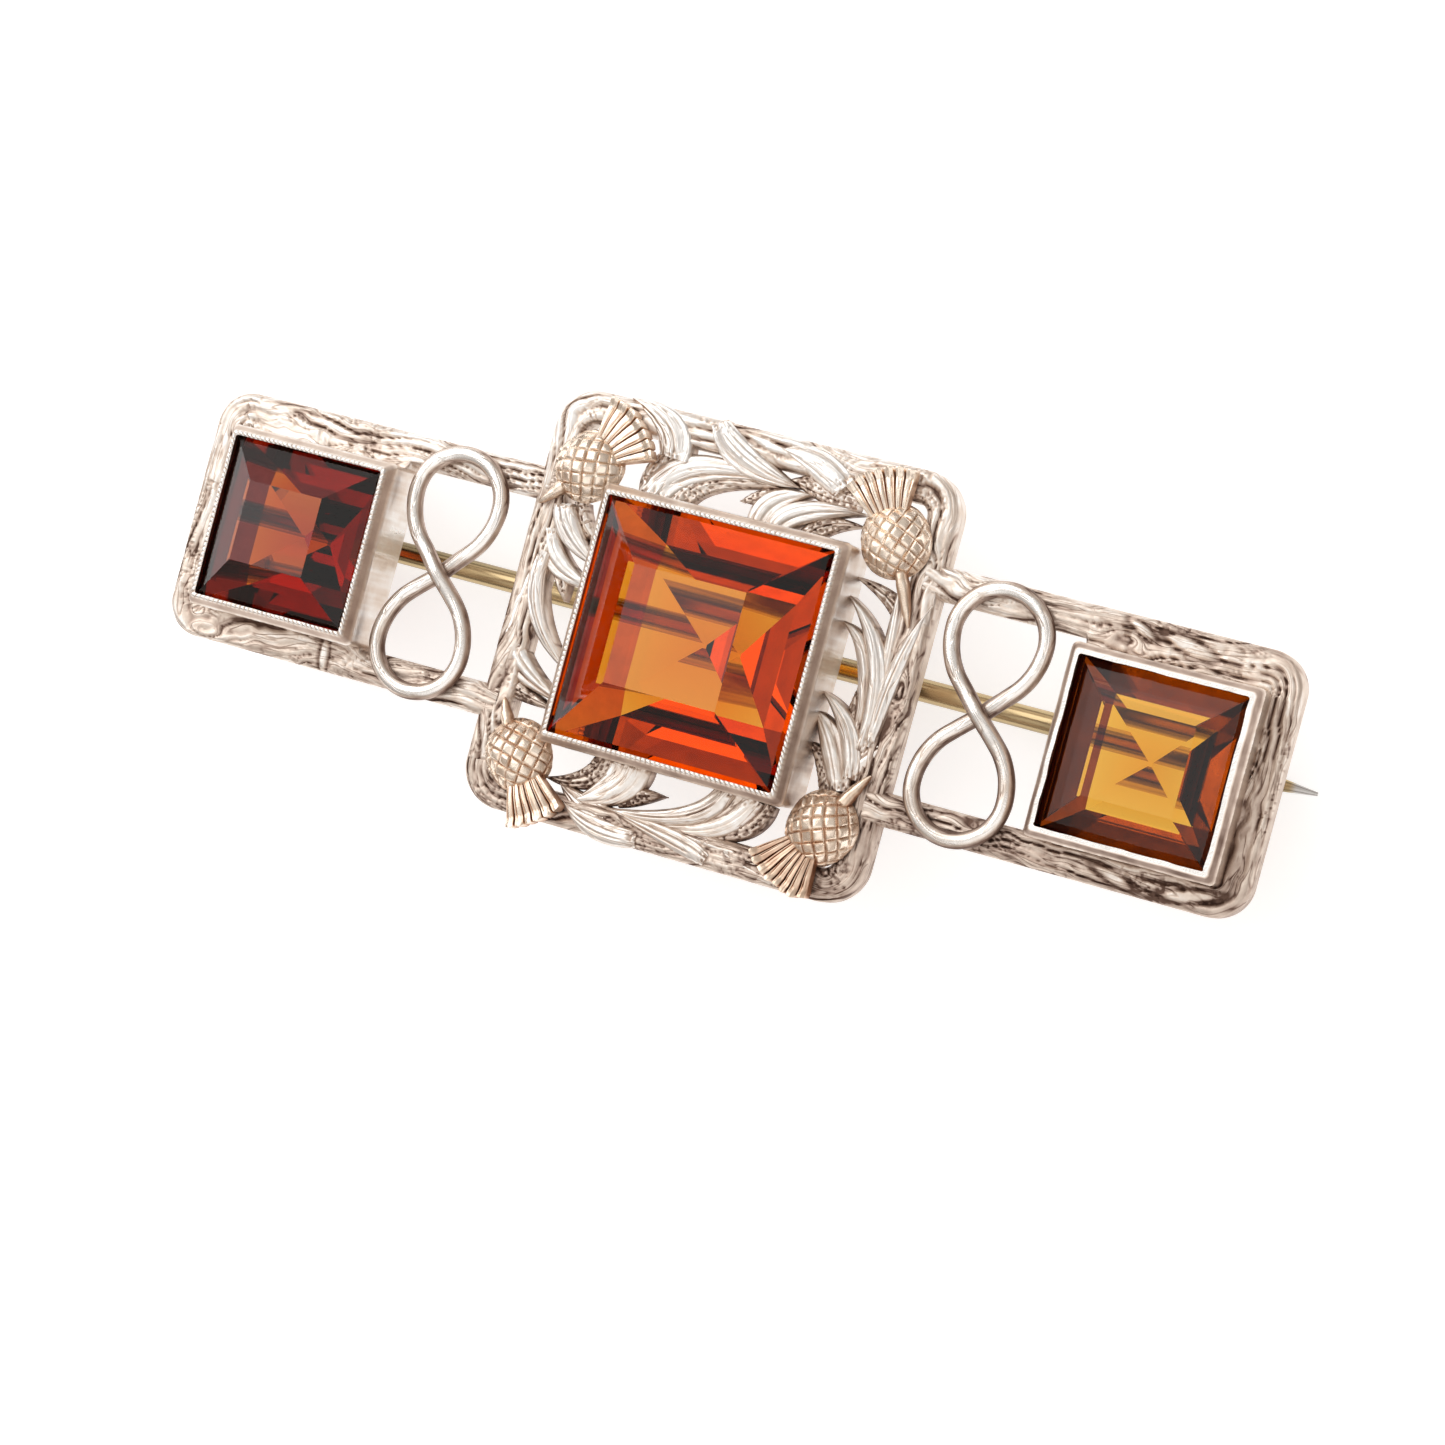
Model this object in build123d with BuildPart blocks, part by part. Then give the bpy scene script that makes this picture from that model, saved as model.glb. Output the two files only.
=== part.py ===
from build123d import *
import os
from math import copysign, cos, hypot, radians, sin

# Frame: lengths in mm, the brooch lies on its back, its long way is X and its face looks up
frame_length = 60.0
arm_height = 13.3
panel_width = 22.3
panel_height = 22.2
rail_width = 1.7
rail_thickness = 1.4
rail_edge_chamfer = 0.3
arm_corner_radius = 1.9
panel_corner_radius = 2.2
junction_radius = 0.8
opening_corner_radius = 0.6

# Pin and hinge on the back
pin_drop = 3.9
pin_across = 0.5
pin_radius = 0.6
pin_overhang = 1.0
pin_taper_length = 3.8
pin_point_radius = 0.1
pin_collar_radius = 0.8
pin_collar_length = 0.65
rivet_radius = 0.4
rivet_head_overlap = 0.3
rivet_head_thickness = 0.25
rivet_seat_clearance = 0.02
eye_running_clearance = 0.05
eye_wall = 0.65
eye_width = 1.8
ear_margin = 0.25
ear_thickness = 0.8
ear_side_clearance = 0.1
hinge_inset = 1.4

# Catch: a plain C whose mouth faces away from the brooch
catch_inset = 1.9
catch_width = 1.5
catch_wall = 0.65
catch_bore_clearance = 0.1
catch_mouth_clearance = 0.05
shank_width = 1.2
solder_depth = 0.3

# Box settings and stones
setting_wall = 0.3
setting_ledge = 0.4
bezel_overlap = 0.2
bezel_slope = 0.25
stone_clearance = 0.05
side_stone_width = 9.0
side_rim_height = 3.7
centre_stone_width = 12.8
centre_rim_height = 3.9
girdle_thickness = 0.2
girdle_below_rim = 0.6
bezel_underside = 0.4
ledge_drop = 0.45
culet_width = 0.3

# Columns: stone, table's share of its width, share at the crown's break, crown's height,
# that break's share of the height, share of the width at the pavilion's break, that break's
# share of the pavilion's depth, clearance of the culet above the pin
stone_cuts = {
    "left": (0.47, 0.94, 2.0, 0.21, 0.5, 0.57, 2.65),
    "centre": (0.475, 0.93, 2.8, 0.22, 0.5, 0.573, 2.04),
    "right": (0.51, 0.72, 1.15, 0.6, 0.53, 0.583, 3.39),
}

# Figure-of-eight wires
wire_radius = 0.43
wire_sink = 0.12
loop_radius = 2.4
scroll_overhang = 0.1
crossing_angle = 45.0

# Leaves
leaf_foot = 0.2
leaf_heights = {"low": 1.15, "mid": 1.35, "high": 1.55}
vein_share = 0.3
vein_trim = 0.2
vein_height = 0.18

# Gold thistles
thistle_gap = 0.05
seat_height = 1.55
seat_radius = 1.3
bulb_length = 3.7
bulb_radius = 1.85
bulb_axis_sink = 0.5
neck_radius = 0.85
tuft_reach = 3.75
tuft_inset = 0.4
tuft_thickness = 0.55
tuft_rib_height = 0.35
tuft_rib_count = 7
tuft_rib_width = 0.36
rib_root_share = 0.7
rib_spread_share = 0.86
stem_width = 0.75
stem_height = 0.6
stem_inset = 0.5

# Points on the bulb's profile, as shares of its half length and radius
bulb_base_point = (-0.72, 0.7)
bulb_neck_point = (0.55, 0.86)

# Columns: name, side, width of the end rail, setting's centre Y, scroll's shift outwards, scroll's centre Y
arms = [
    ("left", -1, 2.0, -0.1, 0.38, -0.1),
    ("right", 1, 1.45, -0.25, -0.15, -0.05),
]
centre_setting_y = -0.25

# Sizes the two tables below were drawn to; the pieces follow the real ones in the same shares
drawn_panel_width = 22.3
drawn_panel_height = 22.2
drawn_rail_width = 1.7
drawn_setting_width = 13.5
drawn_setting_y = -0.25

# Columns: name, centre X, centre Y, direction of the tuft and half its spread in degrees, stem length
thistles = [
    ("top_left", -8.6, 7.05, 50.0, 32.0, 1.3),
    ("top_right", 8.45, 7.1, 116.0, 30.0, 2.4),
    ("bottom_left", -8.25, -7.95, -56.0, 25.0, 1.1),
    ("bottom_right", 8.6, -7.35, -117.0, 31.0, 1.6),
]

# Columns: foot X, foot Y, middle X, middle Y, tip X, tip Y, width at foot, width at middle, level
leaves = [
    (-2.4, 10.9, -0.5, 9.45, 2.6, 8.7, 0.8, 1.2, "high"),
    (-4.9, 6.5, -2.9, 8.4, 1.5, 8.65, 1.3, 1.2, "mid"),
    (-3.6, 6.3, -1.9, 7.95, 2.2, 8.45, 1.0, 0.8, "low"),
    (0.9, 6.2, 1.5, 7.7, 3.4, 8.5, 0.9, 1.0, "mid"),
    (1.9, 8.0, 0.7, 7.75, -0.35, 7.35, 0.8, 0.7, "low"),
    (1.9, 6.3, 3.3, 7.6, 6.4, 8.2, 0.8, 0.9, "high"),
    (3.5, 6.2, 4.5, 7.2, 6.4, 7.6, 0.8, 0.7, "low"),
    (5.0, 9.2, 3.2, 10.15, 1.2, 10.4, 1.1, 1.2, "high"),
    (5.9, 8.8, 3.9, 9.0, 1.9, 9.0, 1.3, 1.2, "low"),
    (-4.3, 8.6, -5.0, 10.2, -7.3, 11.1, 1.3, 1.3, "high"),
    (-5.1, 6.5, -5.0, 8.0, -4.2, 9.6, 1.1, 1.1, "low"),
    (-3.7, -6.9, -4.6, -8.35, -6.8, -8.8, 1.0, 0.9, "low"),
    (-2.3, -6.9, -2.9, -8.4, -5.0, -9.6, 1.9, 1.5, "mid"),
    (-2.6, -8.8, -1.5, -8.45, -0.2, -8.15, 0.9, 0.75, "low"),
    (3.1, -6.9, 1.1, -8.85, -3.4, -9.5, 0.9, 0.8, "high"),
    (4.4, -6.9, 2.4, -9.0, -1.4, -9.5, 1.4, 1.1, "mid"),
    (5.3, -7.1, 4.0, -8.8, 1.0, -9.7, 0.7, 0.9, "low"),
    (3.0, -10.6, 0.8, -10.05, -2.8, -9.5, 0.6, 0.85, "high"),
    (4.8, -9.9, 2.2, -9.7, -0.6, -9.5, 0.5, 0.6, "mid"),
    (-0.9, -10.6, -3.4, -10.55, -5.3, -9.7, 0.7, 0.9, "high"),
    (7.0, -10.7, 5.1, -10.35, 2.9, -9.7, 0.6, 0.75, "mid"),
    (-3.0, -10.2, -4.2, -9.75, -5.8, -8.9, 1.3, 1.1, "mid"),
    (-10.5, -2.6, -10.3, 0.2, -9.7, 2.6, 0.7, 0.8, "mid"),
    (-9.8, 2.4, -9.35, -0.8, -6.6, -3.5, 0.5, 0.75, "high"),
    (-10.0, 3.6, -8.95, 1.9, -6.6, 1.2, 0.8, 1.0, "mid"),
    (-8.9, 1.9, -8.55, 1.0, -8.25, 0.15, 0.8, 0.65, "low"),
    (-9.5, 5.0, -8.6, 3.5, -6.6, 2.2, 0.9, 0.95, "high"),
    (-8.7, 5.3, -8.1, 4.1, -6.6, 3.1, 0.6, 0.6, "low"),
    (-10.2, -2.6, -9.3, -3.8, -6.6, -5.0, 1.0, 1.0, "mid"),
    (-10.2, -4.3, -9.2, -4.95, -6.6, -5.4, 0.9, 0.7, "low"),
    (9.3, -3.3, 8.95, 1.2, 6.5, 4.2, 0.5, 0.8, "high"),
    (8.9, -2.6, 8.35, 1.1, 6.5, 2.8, 0.4, 0.75, "mid"),
    (9.55, -2.6, 9.45, 2.0, 9.0, 5.4, 0.35, 0.7, "mid"),
    (9.75, -3.0, 10.05, 1.0, 11.0, 4.6, 0.4, 0.7, "high"),
    (10.0, -3.4, 10.4, -0.8, 10.8, 2.0, 0.6, 0.8, "low"),
    (9.2, -4.8, 8.4, -2.4, 6.5, -0.8, 0.7, 0.8, "high"),
    (8.7, -2.4, 8.5, -1.3, 8.25, -0.1, 0.9, 0.75, "low"),
    (8.8, -5.5, 7.8, -3.3, 6.4, -1.8, 0.9, 1.1, "mid"),
    (8.3, -5.9, 7.6, -4.4, 6.4, -3.4, 0.9, 0.8, "low"),
    (9.3, -4.6, 9.8, -3.6, 10.7, -2.6, 1.0, 1.1, "mid"),
    (9.6, 3.0, 8.8, 4.3, 6.5, 5.1, 0.5, 0.7, "low"),
]

# Sizes that follow from those above
frame_end = frame_length / 2
panel_end = panel_width / 2
panel_top = panel_height / 2
side_setting_width = side_stone_width + 2 * (stone_clearance + setting_wall)
centre_setting_width = centre_stone_width + 2 * (stone_clearance + setting_wall)
eye_radius = rivet_radius + eye_running_clearance + eye_wall
ear_radius = eye_radius + ear_margin
rivet_head_radius = rivet_radius + rivet_head_overlap
catch_bore_radius = pin_radius + catch_bore_clearance
catch_mouth = 2 * (pin_radius + catch_mouth_clearance)
hinge_x = -frame_end + hinge_inset
catch_x = frame_end - catch_inset
half_bulb = bulb_length / 2
tuft_start = half_bulb - tuft_inset
pick_tolerance = 0.1



def panel_knots(panel_size, rail, setting_width, setting_middle):
    """Edges met in turn across the panel: its side, the rail's inner edge and the setting, both ways."""
    panel_half = panel_size / 2
    setting_half = setting_width / 2
    return (
        -panel_half,
        -panel_half + rail,
        setting_middle - setting_half,
        setting_middle + setting_half,
        panel_half - rail,
        panel_half,
    )


drawn_knots_x = panel_knots(drawn_panel_width, drawn_rail_width, drawn_setting_width, 0)
drawn_knots_y = panel_knots(drawn_panel_height, drawn_rail_width, drawn_setting_width, drawn_setting_y)
knots_x = panel_knots(panel_width, rail_width, centre_setting_width, 0)
knots_y = panel_knots(panel_height, rail_width, centre_setting_width, centre_setting_y)
leaf_band = panel_width - 2 * rail_width - centre_setting_width
leaf_scale = leaf_band / (drawn_panel_width - 2 * drawn_rail_width - drawn_setting_width)


def carry(value, drawn_knots, knots):
    """Carry a drawn coordinate to the real sizes, in even steps between matching knots."""
    spans = zip(drawn_knots, drawn_knots[1:], knots, knots[1:])
    for drawn_low, drawn_high, low, high in spans:
        if value <= drawn_high:
            break
    return low + (value - drawn_low) * (high - low) / (drawn_high - drawn_low)


def on_panel(drawn_x, drawn_y):
    """A drawn point, carried to the real sizes of the panel and its setting."""
    return Vector(carry(drawn_x, drawn_knots_x, knots_x), carry(drawn_y, drawn_knots_y, knots_y))


def leaf_face(row, share=1.0, trim=0.0):
    """A leaf's outline: two arcs from a cut foot, past its middle, to a pointed tip.

    The share narrows it to a vein, and the trim draws both ends towards the middle.
    """
    foot_x, foot_y, middle_x, middle_y, tip_x, tip_y, foot_width, width, _ = row
    middle = on_panel(middle_x, middle_y)
    foot = on_panel(foot_x, foot_y) * (1 - trim) + middle * trim
    tip = on_panel(tip_x, tip_y) * (1 - trim) + middle * trim
    half_share = leaf_scale * share / 2
    foot_across = (middle - foot).normalized().rotate(Axis.Z, 90) * (foot_width * half_share)
    across = (tip - foot).normalized().rotate(Axis.Z, 90) * (width * half_share)
    with BuildSketch(mode=Mode.PRIVATE) as leaf:
        with BuildLine():
            ThreePointArc(foot + foot_across, middle + across, tip)
            ThreePointArc(tip, middle - across, foot - foot_across)
            Line(foot - foot_across, foot + foot_across)
        make_face()
    return leaf.sketch


def tuft_ribs(half_spread):
    """Plan of a tuft's ribs, which spread out from the neck."""
    with BuildSketch(mode=Mode.PRIVATE) as ribs:
        for rib in range(tuft_rib_count):
            share = 2 * rib / (tuft_rib_count - 1) - 1
            root = (tuft_start, rib_root_share * neck_radius * share, 0)
            with Locations(Location(root, (0, 0, rib_spread_share * half_spread * share))):
                Rectangle(tuft_reach - tuft_start, tuft_rib_width, align=(Align.MIN, Align.CENTER))
    return ribs.sketch


# The frame's back, set so that the outline's middle stands over the origin and its lowest point at zero
outline = [
    Pos(on_panel(centre_x, centre_y)) * Rot(0, 0, direction) * tuft_ribs(half_spread)
    for _, centre_x, centre_y, direction, half_spread, _ in thistles
]
outline += [leaf_face(row) for row in leaves]
outline_boxes = [sketch.bounding_box() for sketch in outline]
front_edge = min(-panel_top, *[box.min.Y for box in outline_boxes])
rear_edge = max(panel_top, *[box.max.Y for box in outline_boxes])
middle_x = -pin_overhang / 2
middle_y = -(front_edge + rear_edge) / 2
back = Plane(origin=(middle_x, middle_y, ear_radius + pin_drop))


def thistle_plane(centre_x, centre_y, direction, height):
    """A plane at a height above the frame's back, with its X along the thistle's axis."""
    origin = back.from_local_coords(on_panel(centre_x, centre_y) + Vector(0, 0, height))
    return Plane(origin=origin, x_dir=(cos(radians(direction)), sin(radians(direction)), 0))


def thistle_outline(half_spread, stem_length, growth):
    """Plan of a thistle, grown by a clearance: bulb, fan of the tuft and stem."""
    reach = tuft_reach + growth
    spread = radians(half_spread)
    neck_start = tuft_start - growth
    stem_end = -half_bulb - stem_length - growth
    with BuildSketch(mode=Mode.PRIVATE) as plan:
        Ellipse(half_bulb + growth, bulb_radius + growth)
        with BuildLine():
            side_low = (reach * cos(spread), -reach * sin(spread) - growth)
            side_high = (reach * cos(spread), reach * sin(spread) + growth)
            neck_low = (neck_start, -neck_radius - growth)
            neck_high = (neck_start, neck_radius + growth)
            Line(neck_low, side_low)
            ThreePointArc(side_low, (reach, 0), side_high)
            Line(side_high, neck_high)
            Line(neck_high, neck_low)
        make_face()
        with Locations((stem_end, 0)):
            Rectangle(
                stem_length + stem_inset + 2 * growth,
                stem_width + 2 * growth,
                align=(Align.MIN, Align.CENTER),
            )
    return plan.sketch


# Rails: the panel with an arm on each side, cut open for the settings and the pierced leaves
with BuildPart() as rails:
    with BuildSketch(back):
        Rectangle(frame_length, arm_height)
        Rectangle(panel_width, panel_height)
    extrude(amount=rail_thickness)
    corners = [
        (frame_end, arm_height / 2, arm_corner_radius),
        (panel_end, panel_top, panel_corner_radius),
        (panel_end, arm_height / 2, junction_radius),
    ]
    for corner_x, corner_y, radius in corners:
        upright = rails.edges().filter_by(Axis.Z)
        chosen = [
            edge for edge in upright
            if hypot(
                abs(edge.center().X - middle_x) - corner_x, abs(edge.center().Y - middle_y) - corner_y
            ) < pick_tolerance
        ]
        fillet(chosen, radius)
    top_edges = rails.faces().sort_by(Axis.Z)[-1].edges()
    chamfer(top_edges, rail_edge_chamfer)
    with BuildSketch(back):
        RectangleRounded(
            panel_width - 2 * rail_width, panel_height - 2 * rail_width, opening_corner_radius
        )
    extrude(amount=rail_thickness, mode=Mode.SUBTRACT)
    with BuildSketch(back):
        for _, side, end_rail, *_ in arms:
            arm_opening = frame_end - end_rail - side_setting_width - panel_end
            with Locations((side * (panel_end + arm_opening / 2), 0)):
                RectangleRounded(arm_opening, arm_height - 2 * rail_width, opening_corner_radius)
    extrude(amount=rail_thickness, mode=Mode.SUBTRACT)


# Pierced leaves inside the panel, each with a raised vein
with BuildPart() as leaf_work:
    for level, height in leaf_heights.items():
        chosen = [row for row in leaves if row[-1] == level]
        with BuildSketch(back.offset(leaf_foot)):
            for row in chosen:
                add(leaf_face(row))
        extrude(amount=height - leaf_foot)
        with BuildSketch(back.offset(leaf_foot)):
            for row in chosen:
                add(leaf_face(row, vein_share, vein_trim))
        extrude(amount=height + vein_height - leaf_foot)
    with BuildSketch(back.offset(leaf_foot)):
        for _, drawn_x, drawn_y, _, _, _ in thistles:
            centre = on_panel(drawn_x, drawn_y)
            rail_middle = copysign(panel_end - rail_width / 2, centre.X)
            with Locations(centre):
                Circle(seat_radius)
            with Locations(((centre.X + rail_middle) / 2, centre.Y)):
                Rectangle(abs(rail_middle - centre.X), seat_radius)
    extrude(amount=seat_height - leaf_foot)
    for _, centre_x, centre_y, direction, half_spread, stem_length in thistles:
        with BuildSketch(thistle_plane(centre_x, centre_y, direction, seat_height)):
            add(thistle_outline(half_spread, stem_length, thistle_gap))
        extrude(amount=bulb_radius, mode=Mode.SUBTRACT)


def setting_plane(centre_x, centre_y, height):
    """A plane above the frame's back, centred on a setting."""
    return Plane(origin=back.from_local_coords(Vector(centre_x, centre_y, height)))


def setting_block(outer_width, rim_height, centre_x, centre_y):
    """Outside of a box setting, with the bezel's slope round its rim."""
    with BuildPart(mode=Mode.PRIVATE) as block:
        with BuildSketch(setting_plane(centre_x, centre_y, 0)):
            Rectangle(outer_width, outer_width)
        extrude(amount=rim_height)
        chamfer(block.faces().sort_by(Axis.Z)[-1].edges(), bezel_slope)
    return block.part


def setting_hollow(stone_width, rim_height, centre_x, centre_y):
    """Inside of a box setting: open back, pocket for the girdle and the mouth under the bezel."""
    girdle_top = rim_height - girdle_below_rim
    mouth_height = girdle_top + bezel_underside
    ledge_top = girdle_top - girdle_thickness - ledge_drop
    back_width = stone_width - 2 * setting_ledge
    pocket_width = stone_width + 2 * stone_clearance
    mouth_width = stone_width - 2 * bezel_overlap
    with BuildPart(mode=Mode.PRIVATE) as hollow:
        with BuildSketch(setting_plane(centre_x, centre_y, 0)):
            Rectangle(back_width, back_width)
        extrude(amount=rim_height)
        with BuildSketch(setting_plane(centre_x, centre_y, ledge_top)):
            Rectangle(pocket_width, pocket_width)
        extrude(amount=mouth_height - ledge_top)
        with BuildSketch(setting_plane(centre_x, centre_y, mouth_height)):
            Rectangle(mouth_width, mouth_width)
        extrude(amount=rim_height - mouth_height)
    return hollow.part


def build_stone(stone_width, rim_height, centre_x, centre_y, cut):
    """Square step-cut stone: table, two crown steps, girdle, two pavilion steps and a culet.

    Its depth leaves the culet's clearance above the pin.
    """
    table_share, crown_break, crown_height, crown_rise, pavilion_break, fall, culet_clearance = cut
    girdle_top = rim_height - girdle_below_rim
    girdle_bottom = girdle_top - girdle_thickness
    pavilion_depth = girdle_bottom + pin_drop - pin_radius - culet_clearance
    steps = [
        (girdle_top + crown_height, stone_width * table_share),
        (girdle_top + crown_height * crown_rise, stone_width * crown_break),
        (girdle_top, stone_width),
        (girdle_bottom, stone_width),
        (girdle_bottom - pavilion_depth * fall, stone_width * pavilion_break),
        (girdle_bottom - pavilion_depth, culet_width),
    ]
    with BuildPart(mode=Mode.PRIVATE) as stone:
        for (upper_z, upper_width), (lower_z, lower_width) in zip(steps, steps[1:]):
            with BuildSketch(setting_plane(centre_x, centre_y, upper_z)):
                Rectangle(upper_width, upper_width)
            with BuildSketch(setting_plane(centre_x, centre_y, lower_z)):
                Rectangle(lower_width, lower_width)
            loft(ruled=True)
    return stone.part


# Figure-of-eight wires over the rails, between each side setting and the panel
side_turn = radians(crossing_angle)
loop_centre = arm_height / 2 + scroll_overhang - wire_radius - loop_radius
side_radius = (loop_centre * sin(side_turn) - loop_radius * cos(side_turn)) / (1 - cos(side_turn))
wire_height = rail_thickness + wire_radius - wire_sink
with BuildPart() as scroll_wires:
    for _, side, end_rail, _, shift, scroll_y in arms:
        opening_middle = (frame_end - end_rail - side_setting_width + panel_end) / 2
        place = back.from_local_coords(Vector(side * (opening_middle + shift), scroll_y, wire_height))
        with BuildLine(Plane(origin=place)) as eight:
            upper = CenterArc((0, loop_centre), loop_radius, 0, 180)
            down_left = JernArc(upper @ 1, upper % 1, side_radius, crossing_angle)
            lower = CenterArc((0, -loop_centre), loop_radius, 180, 180)
            up_left = JernArc(lower @ 0, (0, 1), side_radius, -crossing_angle)
            down_right = JernArc(upper @ 0, (0, -1), side_radius, -crossing_angle)
            up_right = JernArc(lower @ 1, (0, 1), side_radius, crossing_angle)
            first = Line(down_left @ 1, up_right @ 1)
            second = Line(down_right @ 1, up_left @ 1)
        for strand in (upper, lower, down_left, up_left, down_right, up_right, first, second):
            with BuildSketch(Plane(origin=strand @ 0, z_dir=strand % 0)):
                Circle(wire_radius)
            sweep(path=strand)


# Hinge ears and catch under the frame's back, round the pin's axis
hinge_centre = back.from_local_coords(Vector(hinge_x, pin_across, -pin_drop))
catch_centre = back.from_local_coords(Vector(catch_x, pin_across, -pin_drop))
ear_inner = eye_width / 2 + ear_side_clearance
with BuildPart() as hinge_ears:
    for side in (-1, 1):
        ear_middle = side * (ear_inner + ear_thickness / 2)
        ear_origin = hinge_centre + Vector(0, ear_middle, 0)
        with BuildSketch(Plane(origin=ear_origin, x_dir=(1, 0, 0), z_dir=(0, -1, 0))):
            Circle(ear_radius)
            with Locations((0, (pin_drop + solder_depth) / 2)):
                Rectangle(2 * ear_radius, pin_drop + solder_depth)
            Circle(rivet_radius + rivet_seat_clearance, mode=Mode.SUBTRACT)
        extrude(amount=ear_thickness / 2, both=True)

with BuildPart() as catch:
    with BuildSketch(Plane(origin=catch_centre, x_dir=(0, 1, 0), z_dir=(1, 0, 0))):
        Circle(catch_bore_radius + catch_wall)
        with Locations((0, (pin_drop + solder_depth) / 2)):
            Rectangle(shank_width, pin_drop + solder_depth)
        Circle(catch_bore_radius, mode=Mode.SUBTRACT)
        with Locations((0, -(catch_bore_radius + catch_wall) / 2)):
            Rectangle(catch_mouth, catch_bore_radius + catch_wall, mode=Mode.SUBTRACT)
    extrude(amount=catch_width / 2, both=True)


# The silver work, soldered into one piece
setting_places = {
    name: (side * (frame_end - end_rail - side_setting_width / 2), setting_y)
    for name, side, end_rail, setting_y, _, _ in arms
}
settings = [
    (side_stone_width, side_setting_width, side_rim_height, x, y) for x, y in setting_places.values()
]
settings.append((centre_stone_width, centre_setting_width, centre_rim_height, 0, centre_setting_y))
with BuildPart() as silver_frame:
    add(rails.part)
    add(leaf_work.part)
    for _, outer_width, rim_height, centre_x, centre_y in settings:
        add(setting_block(outer_width, rim_height, centre_x, centre_y))
    add(scroll_wires.part)
    add(hinge_ears.part)
    add(catch.part)
    for stone_width, _, rim_height, centre_x, centre_y in settings:
        add(setting_hollow(stone_width, rim_height, centre_x, centre_y), mode=Mode.SUBTRACT)


# The three stones
stones = {
    name + "_citrine": build_stone(side_stone_width, side_rim_height, x, y, stone_cuts[name])
    for name, (x, y) in setting_places.items()
}
stones["centre_citrine"] = build_stone(
    centre_stone_width, centre_rim_height, 0, centre_setting_y, stone_cuts["centre"]
)


def build_thistle(centre_x, centre_y, direction, half_spread, stem_length):
    """Thistle head: turned bulb cut flat below, fan of ribs for the tuft and a short stem."""
    seat = thistle_plane(centre_x, centre_y, direction, seat_height + thistle_gap)
    core = seat.offset(-bulb_axis_sink)
    spread = radians(half_spread)
    base_point = (bulb_base_point[0] * half_bulb, bulb_base_point[1] * bulb_radius)
    neck_point = (bulb_neck_point[0] * half_bulb, bulb_neck_point[1] * bulb_radius)
    block = setting_block(
        centre_setting_width + 2 * thistle_gap, centre_rim_height, 0, centre_setting_y
    )
    with BuildPart(mode=Mode.PRIVATE) as head:
        with BuildSketch(Plane(origin=core.origin, x_dir=core.x_dir, z_dir=-core.y_dir)):
            with BuildLine():
                ThreePointArc((-half_bulb, 0), base_point, (0, bulb_radius))
                ThreePointArc((0, bulb_radius), neck_point, (half_bulb, neck_radius))
                Line((half_bulb, neck_radius), (half_bulb, 0))
                Line((half_bulb, 0), (-half_bulb, 0))
            make_face()
        revolve(axis=Axis(core.origin, core.x_dir))
        split(bisect_by=seat, keep=Keep.TOP)
        with BuildSketch(seat):
            with BuildLine():
                low = (tuft_reach * cos(spread), -tuft_reach * sin(spread))
                high = (tuft_reach * cos(spread), tuft_reach * sin(spread))
                Line((tuft_start, -neck_radius), low)
                ThreePointArc(low, (tuft_reach, 0), high)
                Line(high, (tuft_start, neck_radius))
                Line((tuft_start, neck_radius), (tuft_start, -neck_radius))
            make_face()
        extrude(amount=tuft_thickness)
        with BuildSketch(seat):
            add(tuft_ribs(half_spread))
        extrude(amount=tuft_thickness + tuft_rib_height)
        with BuildSketch(seat):
            with Locations((-half_bulb - stem_length, 0)):
                Rectangle(stem_length + stem_inset, stem_width, align=(Align.MIN, Align.CENTER))
        extrude(amount=stem_height)
        add(block, mode=Mode.SUBTRACT)
    return head.part


# Pin with its eye, and the rivet through the hinge
pin_length = frame_end + pin_overhang - hinge_x
collar_end = eye_radius + pin_collar_length
with BuildPart() as pin_stem:
    with BuildSketch(Plane(origin=hinge_centre, x_dir=(1, 0, 0), z_dir=(0, -1, 0))):
        Circle(eye_radius)
    extrude(amount=eye_width / 2, both=True)
    with BuildSketch(Plane(origin=hinge_centre, x_dir=(1, 0, 0), z_dir=(0, -1, 0))):
        with BuildLine():
            Polyline(
                (0, 0), (0, pin_collar_radius), (collar_end, pin_collar_radius), (collar_end, pin_radius),
                (pin_length - pin_taper_length, pin_radius),
                (pin_length, pin_point_radius), (pin_length, 0), (0, 0)
            )
        make_face()
    revolve(axis=Axis(hinge_centre, (1, 0, 0)))
    with BuildSketch(Plane(origin=hinge_centre, x_dir=(1, 0, 0), z_dir=(0, -1, 0))):
        Circle(rivet_radius + eye_running_clearance)
    extrude(amount=eye_width, both=True, mode=Mode.SUBTRACT)

rivet_half = ear_inner + ear_thickness + rivet_seat_clearance
with BuildPart() as hinge_rivet:
    with BuildSketch(Plane(origin=hinge_centre, x_dir=(1, 0, 0), z_dir=(0, -1, 0))):
        Circle(rivet_radius)
    extrude(amount=rivet_half, both=True)
    for side in (-1, 1):
        head_origin = hinge_centre + Vector(0, side * rivet_half, 0)
        with BuildSketch(Plane(origin=head_origin, x_dir=(side, 0, 0), z_dir=(0, side, 0))):
            Circle(rivet_head_radius)
        extrude(amount=rivet_head_thickness)


# Write each piece
pieces = {
    "silver_frame": silver_frame.part,
    "pin_stem": pin_stem.part,
    "hinge_rivet": hinge_rivet.part,
    **stones,
}
for name, *thistle_row in thistles:
    pieces["thistle_" + name] = build_thistle(*thistle_row)

os.makedirs("parts", exist_ok=True)
for name, piece in pieces.items():
    piece.label = name
    export_step(piece, "parts/" + name + ".step")
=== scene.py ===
"""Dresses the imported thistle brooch: chased silver, pierced leaves, gold thistles and cut stones.

All shapes are worked out in millimetres from the middle of the panel's back, with X along the brooch
and Z out of its face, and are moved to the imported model's place in metres when their mesh is made.
"""

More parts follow.
